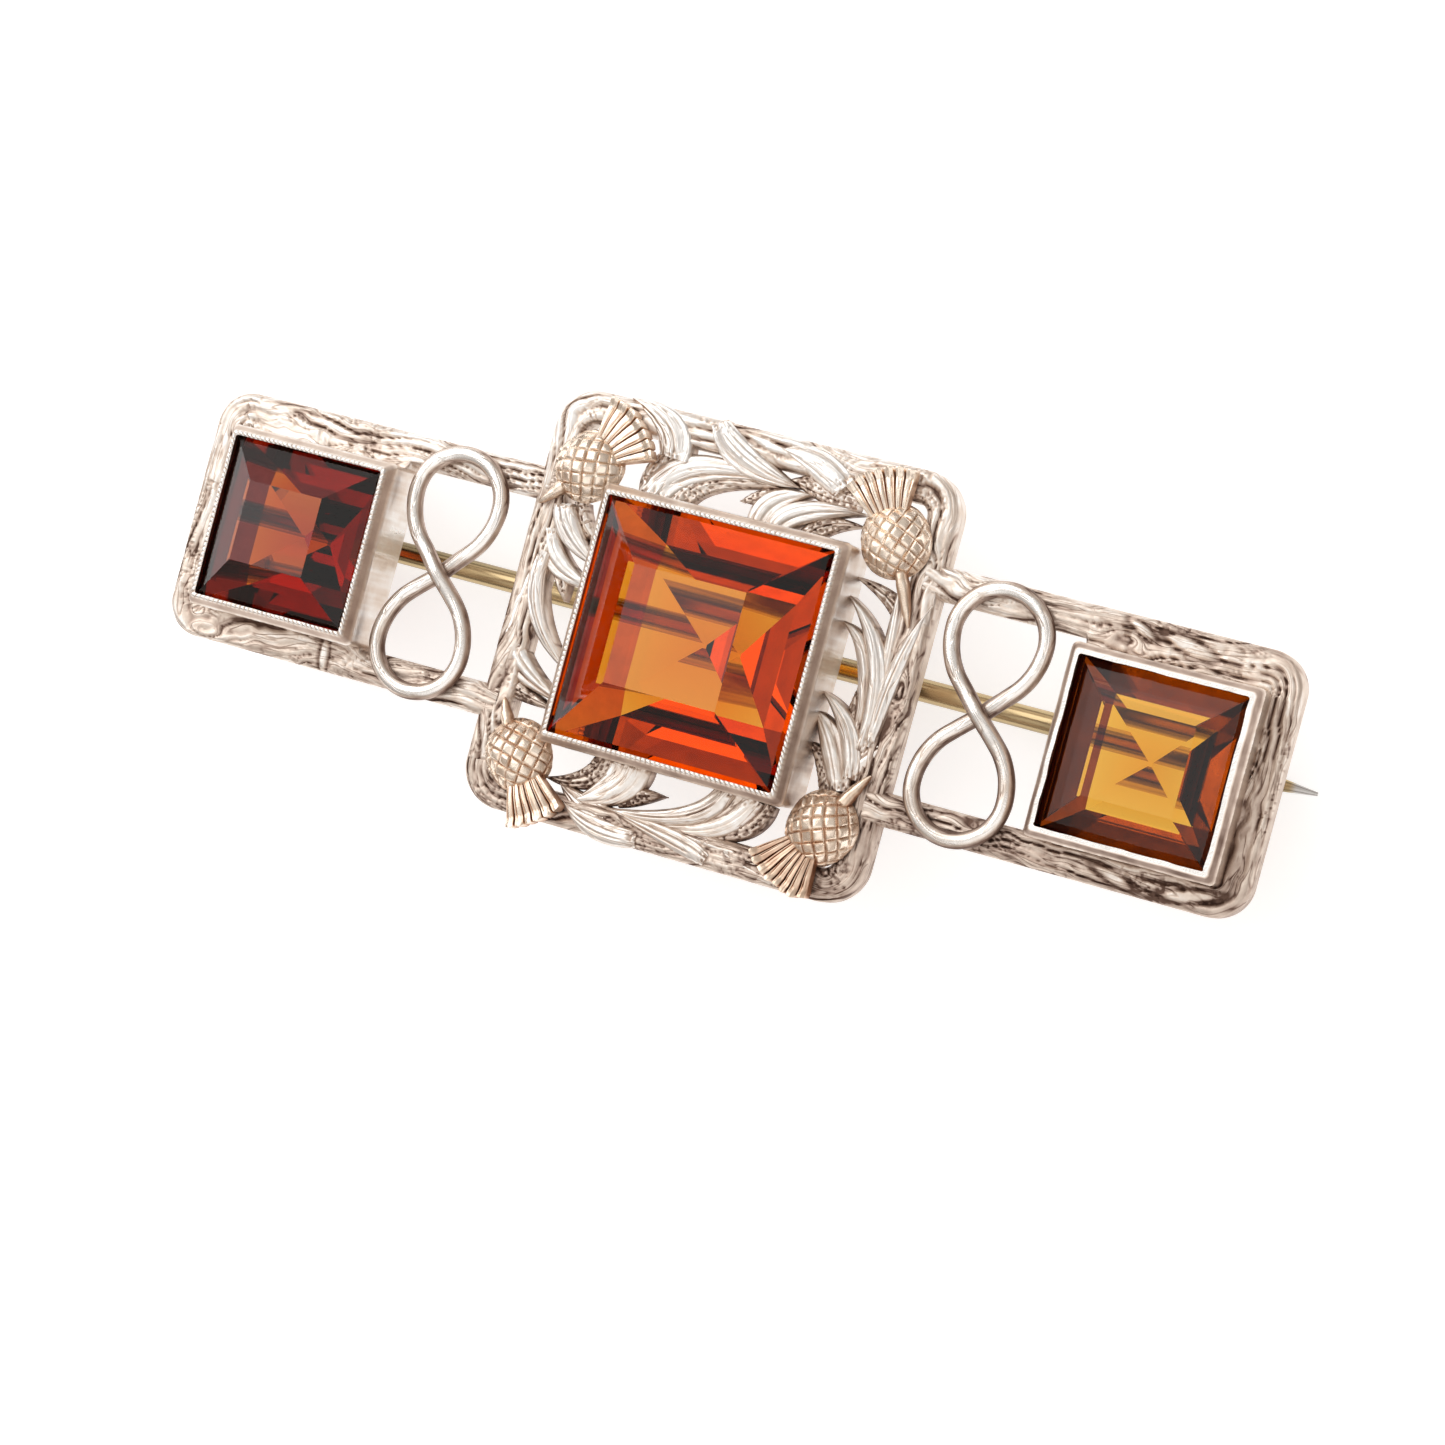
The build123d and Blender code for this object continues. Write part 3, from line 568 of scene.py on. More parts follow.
def worn_and_shaded_metal(name, bright, recess):
    """Metal whose grooves keep a dark tarnish while its high spots are rubbed bright.

    Brightness is the relief attribute, dimmed in crevices and between parts by painted shade from ambient
    occlusion and broken by noise, less the engraved share in the fine cuts along the grain, with painted
    light and shade added along the brooch. The brighter, the smoother.
    """
    roughness, blotch_scale, shade_lift, engraved = METAL_WEAR_AND_SHADE[name]
    crevice_share, blotch_gain, blotch_shift = 0.4, 0.5, -0.32
    cut_depth, grit_scale, polish = 2.5, 9000.0, 0.28
    material, shader, _ = new_material(name)
    relief = add_node(material, "ShaderNodeAttribute", attribute_name="relief").outputs["Fac"]
    # Painted shade: ambient occlusion darkens crevices and the places between parts
    crevice = add_node(material, "ShaderNodeAmbientOcclusion", {"Distance": CREVICE_REACH * MM}, samples=4)
    darkest = 1 - crevice_share + shade_lift
    openness = math_node(material, "MULTIPLY_ADD", crevice.outputs["AO"], crevice_share, darkest)
    height = math_node(material, "MULTIPLY", relief, openness)
    blotches = noise_node(material, blotch_scale, 4.0)
    broken = math_node(material, "MULTIPLY_ADD", blotches, blotch_gain, blotch_shift)
    worn = math_node(material, "ADD", height, broken)
    grit = noise_node(material, grit_scale, 3.0)
    if engraved:
        cuts = fine_cuts(material)
        worn = math_node(material, "SUBTRACT", worn, math_node(material, "MULTIPLY", cuts, engraved))
        grit = math_node(material, "SUBTRACT", grit, math_node(material, "MULTIPLY", cuts, cut_depth))
    # Painted light and shade along the brooch are added to the brightness here
    brightness = math_node(material, "ADD", worn, painted_side_light(material), clamp=True)
    brown, tan = (0.86, 0.71, 0.62), (0.83, 0.735, 0.655)
    middle = [0.45 * low + 0.55 * high * warm for low, high, warm in zip(recess, bright, brown)]
    soft = [high * warm for high, warm in zip(bright, tan)]
    stops = [(0.05, recess), (0.33, middle), (0.62, soft), (0.95, bright)]
    bumps = {"Strength": 0.35, "Distance": GRIT_DEPTH * MM, "Height": grit}
    bump = add_node(material, "ShaderNodeBump", bumps)
    set_inputs(material, shader, {
        "Base Color": ramp_node(material, brightness, stops),
        "Roughness": math_node(material, "MULTIPLY_ADD", brightness, -polish, roughness + polish),
        "Metallic": 1.0,
        "Normal": bump.outputs["Normal"],
    })
    return material


def worn_and_shaded_silver(name):
    """Worn metal with painted shade, in the brooch's silver."""
    finish = bpy.context.scene.brooch_finishes
    return worn_and_shaded_metal(name, finish.silver, finish.tarnish)


def citrine(name, transmitted, density, painted_shade):
    """Clear polished quartz that takes its orange from the way light travels inside it.

    Its painted shade is the share of its surface that a dark diffuse layer darkens, standing in for the shade
    behind the stone.
    """
    material, shader, output = new_material(name)
    set_inputs(material, shader, {
        "Base Color": (1.0, 1.0, 1.0, 1.0), "Roughness": 0.0, "IOR": 1.55, "Transmission Weight": 1.0,
    })
    tinted = {"Color": (*transmitted, 1.0), "Density": density}
    absorption = add_node(material, "ShaderNodeVolumeAbsorption", tinted)
    set_inputs(material, output, {"Volume": absorption.outputs["Volume"]})
    # Painted shade: a dark diffuse layer mixed over a patchy share of the surface
    if painted_shade:
        shade_layer = add_node(material, "ShaderNodeBsdfDiffuse", {"Color": (*BEHIND_STONE_SHADE, 1.0)})
        patchy = math_node(material, "MULTIPLY_ADD", noise_node(material, 900.0, 3.0), 0.5, painted_shade - 0.25)
        layers = {"Fac": patchy, 1: shader.outputs["BSDF"], 2: shade_layer.outputs["BSDF"]}
        mixed = add_node(material, "ShaderNodeMixShader", layers)
        set_inputs(material, output, {"Surface": mixed.outputs["Shader"]})
    return material


def drawn_metal(name, tone, tip=None, tip_start=0.0):
    """Plain metal with darker and lighter lines drawn out along X, in the tip's colour past its start."""
    material, shader, _ = new_material(name)
    dark = [0.35 * part for part in tone]
    light = [min(1.0, 1.25 * part) for part in tone]
    lines = noise_node(material, 500.0, 5.0, (0.12, 4.0, 4.0))
    colour = ramp_node(material, lines, [(0.3, dark), (0.5, tone), (0.72, light)])
    if tip:
        past = math_node(material, "SUBTRACT", place_node(material, "X"), tip_start)
        share = math_node(material, "MULTIPLY", past, 3000.0, clamp=True)
        mixed = {"Factor": share, "A": colour, "B": (*tip, 1.0)}
        colour = add_node(material, "ShaderNodeMix", mixed, data_type="RGBA").outputs["Result"]
    set_inputs(material, shader, {"Base Color": colour, "Metallic": 1.0, "Roughness": 0.24})
    return material


def dress_node(name, material):
    """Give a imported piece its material, and leave its mesh as it is."""
    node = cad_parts[name]
    if not node.material_slots:
        node.data.materials.append(material)
    for place in node.material_slots:
        place.material = material


def cornered_path(corners, radius, run_points, arc_points, closed):
    """Straight runs joined by quarter circles, with the same number of points on each.

    At a corner P between unit directions a and b, the arc is P - r a + r b + r (a sin t - b cos t).
    """
    corners = np.asarray(corners, float)
    count = len(corners)
    turn = np.linspace(0, pi / 2, arc_points)[:, None]
    arcs = []
    for k in range(count) if closed else range(1, count - 1):
        ahead = corners[(k + 1) % count] - corners[k]
        behind = corners[k] - corners[k - 1]
        along, onward = behind / np.hypot(*behind), ahead / np.hypot(*ahead)
        centre = corners[k] - radius * along + radius * onward
        arcs.append(centre + radius * (along * np.sin(turn) - onward * np.cos(turn)))
    between = np.linspace(0, 1, run_points)[1:-1, None]
    if closed:
        runs = [arcs[k - 1][-1] * (1 - between) + arcs[k][0] * between for k in range(count)]
        return np.concatenate([piece for pair in zip(runs, arcs) for piece in pair])
    ends = [corners[:1]] + arcs + [corners[-1:]]
    pieces = []
    for before, after in zip(ends, ends[1:]):
        pieces += [before, before[-1] * (1 - between) + after[0] * between]
    return np.concatenate(pieces + [ends[-1]])


def bark(along, across, sizes, seed):
    """Relief of chased bark, as (height in mm, brightness from 0 to 1, distance across the grain in mm).

    Cuts follow the distance across the rail, moved by slow noise so that they wind and cross it at a
    slant, and by knots, each knot a bell curve that makes closed rings round it. Every cut fades in and
    out along its own length. The ground between two cuts is a low arch with finer cuts over it, a slow
    swell lifts it, and small dots are pressed into some stretches.
    """
    width, depth, swell = sizes.strand_width / MM, sizes.groove_depth / MM, sizes.swell / MM
    knot_spacing, knot_length, knot_width, knot_push = 9.0, 0.95, 0.4, 0.7
    cut_width, fine_spacing, fine_width, dot_size = 0.05, 0.34 * width, 0.2, 0.13
    lane = across + 1.5 * soft_noise(along / 3.8, across / 2.4, seed)
    lane = lane + 0.22 * soft_noise(along / 0.8, across / 0.6, seed + 1)
    for k in range(int(along.max() / knot_spacing)):
        place = knot_spacing * (k + 0.2 + 0.6 * lattice(k, 1, seed))
        off = across.max() * (0.15 + 0.7 * lattice(k, 2, seed))
        lane = lane + knot_push * bell(along - place, knot_length) * bell(across - off, knot_width)
    phase = lane / width
    inside = phase - np.floor(phase)
    to_line = np.abs(phase - np.round(phase)) * width
    shown = step(0.3, 0.7, soft_noise(along / 2.6, 7.3 * np.round(phase), seed + 2))
    cut = bell(to_line, cut_width) * shown
    arch = 4 * inside * (1 - inside)
    fine_phase = lane / fine_spacing
    fine_shown = step(0.35, 0.75, soft_noise(along / 1.2, 3.1 * np.round(fine_phase), seed + 4))
    fine = bell(fine_phase - np.round(fine_phase), fine_width) * fine_shown
    rise = layered_noise(along / 2.0, across / 0.9, seed + 5)
    dotted = step(0.6, 0.72, soft_noise(along / 1.5, across / 0.9, seed + 6))
    dots = dotted * step(0.55, 0.8, soft_noise(along / dot_size, across / dot_size, seed + 7))
    grain = layered_noise(along / 0.45, lane / 0.1, seed + 8)
    height = swell * rise + 0.06 * arch - depth * cut - 0.04 * fine - 0.05 * dots + 0.02 * grain
    brightness = 0.7 + 0.1 * arch - 0.6 * cut - 0.3 * fine - 0.3 * dots + 0.4 * rise + 0.25 * grain
    return height, np.clip(brightness, 0, 1), lane


def rail_shell(outer, inner, sizes, seed, closed):
    """A rail between two matching edge lines, with a chased top, rounded upper edges and a flat back.

    A point of its top lies at outer (1 - q) + inner q, at the rail's thickness less the edges' round.
    Gouged ovals are smooth inside, with a groove where their own distance (x/a, y/b) is near one.
    """
    thickness, edge = sizes.thickness / MM, sizes.edge_round / MM
    side_heights, groove_width = np.array([0.55, 0.0]), 0.08
    middle = (outer + inner) / 2
    gap = np.hypot(*(outer - inner).T)
    strides = np.hypot(*np.diff(middle, axis=0).T)
    along = np.concatenate([[0], np.cumsum(strides)])[:, None]
    share_across = (1 - np.cos(np.linspace(0, pi, 31)))[None, :] / 2
    across = share_across * gap[:, None]
    to_edge = np.minimum(across, gap[:, None] - across)
    rounding = edge - np.sqrt(np.clip(edge**2 - np.clip(edge - to_edge, 0, edge) ** 2, 0, None))
    height, brightness, lane = bark(along, across, sizes, seed)
    x, y = (outer[:, k, None] * (1 - share_across) + inner[:, k, None] * share_across for k in (0, 1))
    for oval_x, oval_y, half_length, half_width, tilt in OVALS:
        lengthwise, sideways = rotated(x - oval_x, y - oval_y, -tilt)
        reach = np.hypot(lengthwise / half_length, sideways / half_width)
        inside = 1 - step(0.5, 1.0, reach)
        groove = bell((reach - 1) * half_width, groove_width)
        height = height * (1 - 0.85 * inside) + 0.06 * inside - 0.1 * groove
        brightness = np.clip(brightness * (1 - inside) + 0.95 * inside - 0.42 * groove, 0, 1)
    fade = step(0, 0.5, to_edge / edge)
    top = thickness - rounding + height * (0.35 + 0.65 * fade)
    rings = np.concatenate([
        spread(outer[:, :1], outer[:, 1:], side_heights[::-1]), spread(x, y, top),
        spread(inner[:, :1], inner[:, 1:], side_heights), spread(middle[:, :1], middle[:, 1:], 0.0),
    ], axis=1)
    side_shade, back_shade = np.full((len(outer), 2), 0.7), np.full((len(outer), 1), 0.6)
    relief = np.concatenate([side_shade, brightness, side_shade, back_shade], axis=1)
    below = np.array([1.2, 0.6])
    grain = np.concatenate([lane[:, :1] - below, lane, lane[:, -1:] + below[::-1], lane[:, :1] - 2.0], axis=1)
    flow = loop_grain(along, along[-1], grain) if closed else spread(along, 0.0, grain)
    return shell(rings, relief, closed, flow)


def box_edge(name):
    """Half width and middle of a stone's box setting, in mm."""
    low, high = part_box(name)
    low_x, high_x = local_span(low, high, 0)
    low_y, high_y = local_span(low, high, 1)
    return (high_x - low_x) / 2 + STONE_TO_BOX, (low_x + high_x) / 2, (low_y + high_y) / 2


def arm_shell(sizes, side, seed):
    """The three rails of an arm, from the panel round the brooch's end and back to the panel.

    Their inner edge is tucked under the setting's wall, and draws back to the rail's width beside it.
    """
    end = abs(local_span(silver_low, silver_high, 0)[0 if side < 0 else 1])
    box_half, box_x, box_y = box_edge("left_citrine" if side < 0 else "right_citrine")
    start, tuck, notch = PANEL_HALF[0] - 0.9, 0.3, 0.25
    run_points, arc_points = 260, 50
    outer_corners = [(start, ARM_HALF), (end, ARM_HALF), (end, -ARM_HALF), (start, -ARM_HALF)]
    inner_x = abs(box_x) + box_half - tuck
    inner_top = box_y + box_half - tuck
    inner_bottom = box_y - box_half + tuck
    inner_corners = [(start, inner_top), (inner_x, inner_top), (inner_x, inner_bottom), (start, inner_bottom)]
    outer = cornered_path(outer_corners, sizes.arm_corner / MM, run_points, arc_points, False)
    inner = cornered_path(inner_corners, 0.05, run_points, arc_points, False)
    opening_end = abs(box_x) - box_half + tuck
    narrow = 1 - step(opening_end - notch, opening_end, inner[:, 0])
    edge = ARM_HALF - sizes.rail_width / MM
    inner[:, 1] = inner[:, 1] * (1 - narrow) + np.where(inner[:, 1] > 0, edge, -edge) * narrow
    mirror = np.array([side, 1])
    return rail_shell(outer * mirror, inner * mirror, sizes, seed, False)


class BROOCH_OT_rails(bpy.types.Operator):
    """Make the chased rails of the panel and of both arms"""

    bl_idname = "brooch.rails"
    bl_label = "Chased rails"

    def execute(self, context):
        sizes = context.scene.brooch_rails
        metal = worn_and_shaded_silver("chased_silver")
        half, rail = np.array(PANEL_HALF), sizes.rail_width / MM
        run_points, arc_points = 300, 40
        outer = cornered_path(SQUARE * half, sizes.panel_corner / MM, run_points, arc_points, True)
        inner = cornered_path(SQUARE * (half - rail), sizes.inner_corner / MM, run_points, arc_points, True)
        make_silver("panel_rails", [rail_shell(outer, inner, sizes, PANEL_SEED, True)], metal)
        for name, side, _, _ in ARMS:
            make_silver(name + "_arm_rails", [arm_shell(sizes, side, ARM_SEED + 7 * side)], metal)
        return {"FINISHED"}


def blade_shell(row, sizes, seed):
    """A carved leaf blade through its foot, middle and tip.

    Its middle line is F 2(u - 1/2)(u - 1) + M 4u(1 - u) + T 2u(u - 1/2), and its half width the same sum
    of the widths. Across it the height is a low arch, hollowed on one side, with thin veins cut along it
    that all run to the tip. Low blades are dotted all over, and the others near their foot.
    """
    foot_x, foot_y, middle_x, middle_y, tip_x, tip_y, foot_width, middle_width, level = row
    level_height, level_shade, level_dots = LEVELS[level]
    cut_width, dot_size, rim_width, under_share = 0.05, 0.12, 0.07, 0.94
    foot, middle, tip = (np.array(p) for p in ((foot_x, foot_y), (middle_x, middle_y), (tip_x, tip_y)))
    reach = np.hypot(*(tip - foot))
    u, v = np.linspace(0, 1, 64)[:, None], np.linspace(-1, 1, 31)[None, :]
    near, between, far = 2 * (u - 0.5) * (u - 1), 4 * u * (1 - u), 2 * u * (u - 0.5)
    line = foot * near + middle * between + tip * far
    slope = foot * (4 * u - 3) + middle * (4 - 8 * u) + tip * (4 * u - 1)
    slope /= np.hypot(*slope.T)[:, None]
    normal = spread(-slope[:, 1], slope[:, 0])[:, None]
    half = np.maximum((foot_width * near + middle_width * between) / 2 * sizes.widening, 0.04)
    full = half / half.max()
    veins = max(1, round(middle_width * sizes.widening / (sizes.vein_spacing / MM)) - 1)
    number = np.arange(veins)
    vein_places = (number + 1) / (veins + 1) * 2 - 1 + 0.12 * (lattice(number, 0, seed) - 0.5)
    cut = np.zeros((u.size, v.size))
    for k, place in enumerate(vein_places):
        start, end = 0.25 * lattice(k, 3, seed), 1.05 - 0.3 * lattice(k, 4, seed)
        shown = step(start - 0.05, start + 0.1, u) * (1 - step(end - 0.1, end + 0.05, u))
        strength = 0.35 + 0.65 * lattice(k, 5, seed)
        cut = np.maximum(cut, bell((v - place) * half, cut_width) * shown * strength)
    hollow = bell(v + 0.45, 0.35)
    arch = sizes.crown / MM * (1 - v**2) * np.sqrt(full)
    ragged = 0.03 * layered_noise(u * 12, v * 3, seed)
    dotted = np.maximum(1 - step(0.04, 0.14, u), level_dots)
    dots = dotted * step(0.5, 0.75, soft_noise(u * reach / dot_size, v * half / dot_size, seed + 2))
    rim = bell((1 - np.abs(v)) * half, rim_width)
    top = level_height - 0.1 + arch - sizes.vein_depth / MM * cut - 0.1 * hollow * full
    top = top - 0.09 * dots + ragged - 0.1 * rim
    offset = half * v
    plan = line[:, None] + normal * offset[..., None]
    # The level's brightness paints the lower blades in shade
    bright = np.clip(level_shade - 0.5 * cut - 0.1 * hollow - 0.45 * dots - 0.3 * rim + ragged * 5, 0, 1)
    upper = spread(plan[..., 0], plan[..., 1], top)
    rings, relief = flat_backed(upper, bright, sizes.underside / MM, 0.25)
    rings[:, v.size:, :2] = line[:, None] + normal * (under_share * offset[:, ::-1, None])
    grain = spread(u * reach, 3.7 * seed, 1.3 * offset / np.sqrt(full))
    return shell(rings, relief, False, np.concatenate([grain, grain[:, ::-1]], axis=1))


def seat_shell(centre_x, centre_y, radius, low, high):
    """A round pad under a thistle: four rings, drawn in at both ends."""
    angle, edge = np.linspace(0, 2 * pi, 32, endpoint=False), 0.08
    radii = np.array([radius - edge, radius, radius, radius - edge])[:, None]
    heights = np.array([low, low + edge, high - edge, high])[:, None]
    rings = spread(centre_x + radii * np.cos(angle), centre_y + radii * np.sin(angle), heights)
    return shell(rings, np.full(rings.shape[:2], 0.4))


class BROOCH_OT_leaves(bpy.types.Operator):
    """Make the pierced leaves between the panel's rails and the middle setting"""

    bl_idname = "brooch.leaves"
    bl_label = "Pierced leaves"

    def execute(self, context):
        sizes = context.scene.brooch_leaves
        seat = context.scene.brooch_thistles.seat_height / MM
        metal = worn_and_shaded_silver("leaf_silver")
        for name, rows in LEAVES.items():
            make_silver(name, [blade_shell(row, sizes, LEAF_SEED + k) for k, row in enumerate(rows)], metal)
        pads = [seat_shell(x, y, SEAT_RADIUS, sizes.underside / MM, seat) for _, x, y, *_ in THISTLES]
        make_silver("thistle_seats", pads, metal)
        return {"FINISHED"}


def setting_shell(sizes, stone_name, rim, beads, wave, inside, seed):
    """A box setting: one closed profile of its wall carried round a square with small corners.

    A profile point lies a distance outside the stone's mouth and at a height, and the square grows by
    that distance. The rim carries beads as |sin| along it and a half sine across it, or a soft wave.
    """
    box_half, middle_x, middle_y = box_edge(stone_name)
    overlap, slope = sizes.bezel_overlap / MM, sizes.bezel_slope / MM
    rim_width, corner, ledge_thickness, seat_gap = 0.2, 0.3, 0.45, 0.05
    mouth = box_half - STONE_TO_BOX - overlap
    wall = box_half - mouth
    girdle_top = rim - GIRDLE_BELOW_RIM
    mouth_height = girdle_top + 0.25
    ledge_top = girdle_top - GIRDLE_HEIGHT - ledge_thickness
    pocket, back = seat_gap + overlap, overlap - sizes.ledge / MM
    slope_foot = rim - slope
    rim_across = np.linspace(0, rim_width, 7)
    profile = [(d, rim) for d in rim_across]
    profile += [(rim_width + (wall - rim_width) * t, rim - (rim - slope_foot) * t) for t in (0.3, 0.7, 1.0)]
    profile += [(wall + 0.03, slope_foot - 0.08), (wall, slope_foot - 0.2)]
    profile += [(wall, z) for z in np.linspace(slope_foot - 0.5, 0.3, 7)]
    profile += [(wall, 0.0), (back, 0.0), (back, ledge_top), (pocket, ledge_top), (pocket, mouth_height)]
    profile += [(0.0, mouth_height), (0.0, rim - 0.05)]
    if len(profile) % 2:
        profile.insert(-1, (0.0, mouth_height + 0.1))
    offset, height = np.array(profile).T
    stations = 8 * max(beads, 30)
    inner_line = cornered_path(SQUARE * mouth, corner * 0.4, stations, 9, True)
    outer_line = cornered_path(SQUARE * box_half, corner, stations, 9, True)
    t = (offset / wall)[None, :, None]
    plan = inner_line[:, None] * (1 - t) + outer_line[:, None] * t
    strides = np.hypot(*np.diff(inner_line, axis=0, append=inner_line[:1]).T)
    along = np.concatenate([[0], np.cumsum(strides)[:-1]])[:, None]
    z = np.tile(height, (len(inner_line), 1))
    outside = offset >= wall - TOUCHING
    # Painted light and shade: the inside of the box takes the setting's own dark value, the outer wall is
    # painted a mid tone standing in for the light on it, and the slope below the rim is painted darker as
    # shade, so the rim reads as a thin bright line
    regions = [(offset <= pocket) & (height < rim), outside, offset > rim_width]
    shades = [inside, 0.66, 0.34]
    relief = np.tile(np.select(regions, shades, 1.0), (len(inner_line), 1))
    if beads:
        on_rim = slice(0, len(rim_across))
        hump = np.sin(pi * np.arange(1, 8) / 8)
        bead = np.sqrt(np.abs(np.sin(pi * along / (2 * mouth / beads))))
        z[:, on_rim] += sizes.bead_height / MM * bead * hump
        relief[:, on_rim] = np.clip(0.35 + 0.65 * bead * (0.4 + 0.6 * hump), 0, 1)
    z += wave * layered_noise(along / 2.4, 0, seed) * step(slope_foot - 0.2, rim, height)
    outward = np.sign(outer_line) * (np.abs(outer_line) >= box_half - TOUCHING)
    on_wall = outside & (height > 0.2)
    streak = layered_noise(along / 0.3, height / 5.0, seed + 5)
    wide = layered_noise(along / 1.5, height / 3.0, seed + 6)
    dent = (sizes.wall_streak / MM * streak + 0.05 * wide) * on_wall
    pushed = 0.8 * wave * layered_noise(along / 1.1, 0, seed + 7) * step(rim - 0.3, rim, height)
    plan = plan + outward[:, None] * (dent + pushed)[..., None]
    relief = np.clip(relief + on_wall * (0.4 * streak + 0.25 * wide), 0, 1)
    return shell(spread(plan[..., 0] + middle_x, plan[..., 1] + middle_y, z), relief, True)


class BROOCH_OT_settings(bpy.types.Operator):
    """Make the three box settings with their beaded or hammered rims"""

    bl_idname = "brooch.settings"
    bl_label = "Box settings"

    def execute(self, context):
        sizes = context.scene.brooch_settings
        metal = worn_and_shaded_silver("setting_silver")
        for k, (name, stone_name, *shape) in enumerate(SETTINGS):
            box = setting_shell(sizes, stone_name, *shape, SETTING_SEED + 10 * k)
            make_silver(name + "_setting", [box], metal, sharp=38.0)
        return {"FINISHED"}


def stone_shell(name, rim, table, crown_break, rise, pavilion_break, outer_slope, inner_slope):
    """A square step-cut stone: square rings stacked from the table down to the small culet.

    A pavilion step of slope a drops by its change of half width times the tangent of a.
    """
    low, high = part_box(name)
    half, middle_x, middle_y = box_edge(name)
    half -= STONE_TO_BOX
    top = local_span(low, high, 2)[1]
    girdle, culet = rim - GIRDLE_BELOW_RIM, 0.1
    outer_drop = half * (1 - pavilion_break) * np.tan(radians(outer_slope))
    inner_drop = (half * pavilion_break - culet) * np.tan(radians(inner_slope))
    below = girdle - GIRDLE_HEIGHT
    steps = np.array([
        (half * table, top), (half * crown_break, girdle + (top - girdle) * rise), (half, girdle),
        (half, below), (half * pavilion_break, below - outer_drop), (culet, below - outer_drop - inner_drop),
    ])
    plan = SQUARE * steps[:, :1, None] + (middle_x, middle_y)
    rings = spread(plan[..., 0], plan[..., 1], steps[:, 1:])
    return shell(rings, np.ones(rings.shape[:2]))


class BROOCH_OT_stones(bpy.types.Operator):
    """Make the three step-cut citrines"""

    bl_idname = "brooch.stones"
    bl_label = "Citrines"

    def execute(self, context):
        finish = context.scene.brooch_finishes
        colours = dict(zip((row[0] for row in STONES), (finish.brown, finish.amber, finish.honey)))
        rims = {stone: rim for _, stone, rim, *_ in SETTINGS}
        for name, *cut, density, painted_shade in STONES:
            glass = citrine(name + "_glass", colours[name], density, 0.0)
            slot = name.replace("citrine", "stone")
            stone = make_piece("cut_" + name, [stone_shell(name, rims[name], *cut)], glass, slot, [name])
            # The outer pavilion step takes a second glass with painted shade mixed in
            stone.data.materials.append(citrine(name + "_painted_shade_glass", colours[name], density, painted_shade))
            polygons = stone.data.polygons
            polygons.foreach_set("use_smooth", np.zeros(len(polygons), bool))
            steps = np.arange(len(polygons)) // len(SQUARE)
            polygons.foreach_set("material_index", (steps == OUTER_PAVILION).astype(np.int32))
        return {"FINISHED"}


def eight_path(sizes):
    """Figure of eight as (points, heading), by adding up its heading step by step.

    From the crossing it runs straight, turns an eighth of a circle, half a circle and an eighth again,
    and does the same the other way. The wider eighths join the round ends to the straight strands.
    """
    wire, loop = sizes.wire_radius / MM, sizes.loop_radius / MM
    loop_centre = sizes.half_height / MM - wire - loop
    eighth = radians(45)
    wide = (loop_centre * sin(eighth) - loop * cos(eighth)) / (1 - cos(eighth))
    straight = loop_centre * sin(eighth) + (loop - wide) * cos(eighth)
    runs = [(straight, 0)]
    for way, onward in ((1, 2 * straight), (-1, straight)):
        bend = (wide * eighth, way * eighth)
        runs += [bend, (loop * pi, way * pi), bend, (onward, 0)]
    counts = [max(6, round(run / WIRE_STEP)) for run, _ in runs]
    strides = np.concatenate([np.full(n, run / n) for n, (run, _) in zip(counts, runs)])
    turns = np.concatenate([np.full(n, turn / n) for n, (_, turn) in zip(counts, runs)])
    heading = eighth + np.cumsum(turns) - turns / 2
    points = np.cumsum(strides[:, None] * spread(np.cos(heading), np.sin(heading)), axis=0)
    points -= np.linspace(0, 1, len(points))[:, None] * points[-1]
    return points, heading


def wire_shell(sizes, centre_x, centre_y, thickness, seed):
    """Wire along the figure of eight: rings square to its heading, lifted or lowered at the crossing."""
    points, heading = eight_path(sizes)
    radius, sink, crossing_reach = sizes.wire_radius / MM, 0.12, 1.0
    near = bell(np.hypot(*points.T), crossing_reach)
    downwards = np.cos(heading - radians(-45)) ** 2
    lift = sizes.crossing_lift / MM * near * np.where(downwards > 0.5, 1, -1)
    angle = np.linspace(0, 2 * pi, 26, endpoint=False)[None, :]
    along = np.arange(len(points))[:, None] * WIRE_STEP
    size = radius * (1 + 0.05 * layered_noise(along / 1.3, 0, seed))
    size = size + 0.02 * layered_noise(along / 0.6, angle * 1.2, seed + 1)
    side_x, side_y = -np.sin(heading)[:, None], np.cos(heading)[:, None]
    rings = spread(
        points[:, :1] + side_x * (size * np.cos(angle)) + centre_x,
        points[:, 1:] + side_y * (size * np.cos(angle)) + centre_y,
        thickness + radius - sink + lift[:, None] + size * np.sin(angle),
    )
    worn = layered_noise(along / 1.1, angle, seed + 2)
    # Bright along the top and dark on the sides: partly wear rubbing the top bright, partly a painted
    # highlight on the top and painted shade on the sides
    relief = np.clip(0.22 + 0.7 * step(0.5, 0.98, np.sin(angle)) + 0.45 * worn, 0, 1)
    return shell(rings, relief, True, loop_grain(along, len(points) * WIRE_STEP, radius * angle))


class BROOCH_OT_wires(bpy.types.Operator):
    """Make the two figure-of-eight wires"""

    bl_idname = "brooch.wires"
    bl_label = "Figure-of-eight wires"

    def execute(self, context):
        sizes = context.scene.brooch_wires
        thickness = context.scene.brooch_rails.thickness / MM
        metal = worn_and_shaded_silver("wire_silver")
        for name, side, wire_x, wire_y in ARMS:
            wire = wire_shell(sizes, wire_x, wire_y, thickness, WIRE_SEED + side)
            make_silver(name + "_eight_wire", [wire], metal)
        return {"FINISHED"}


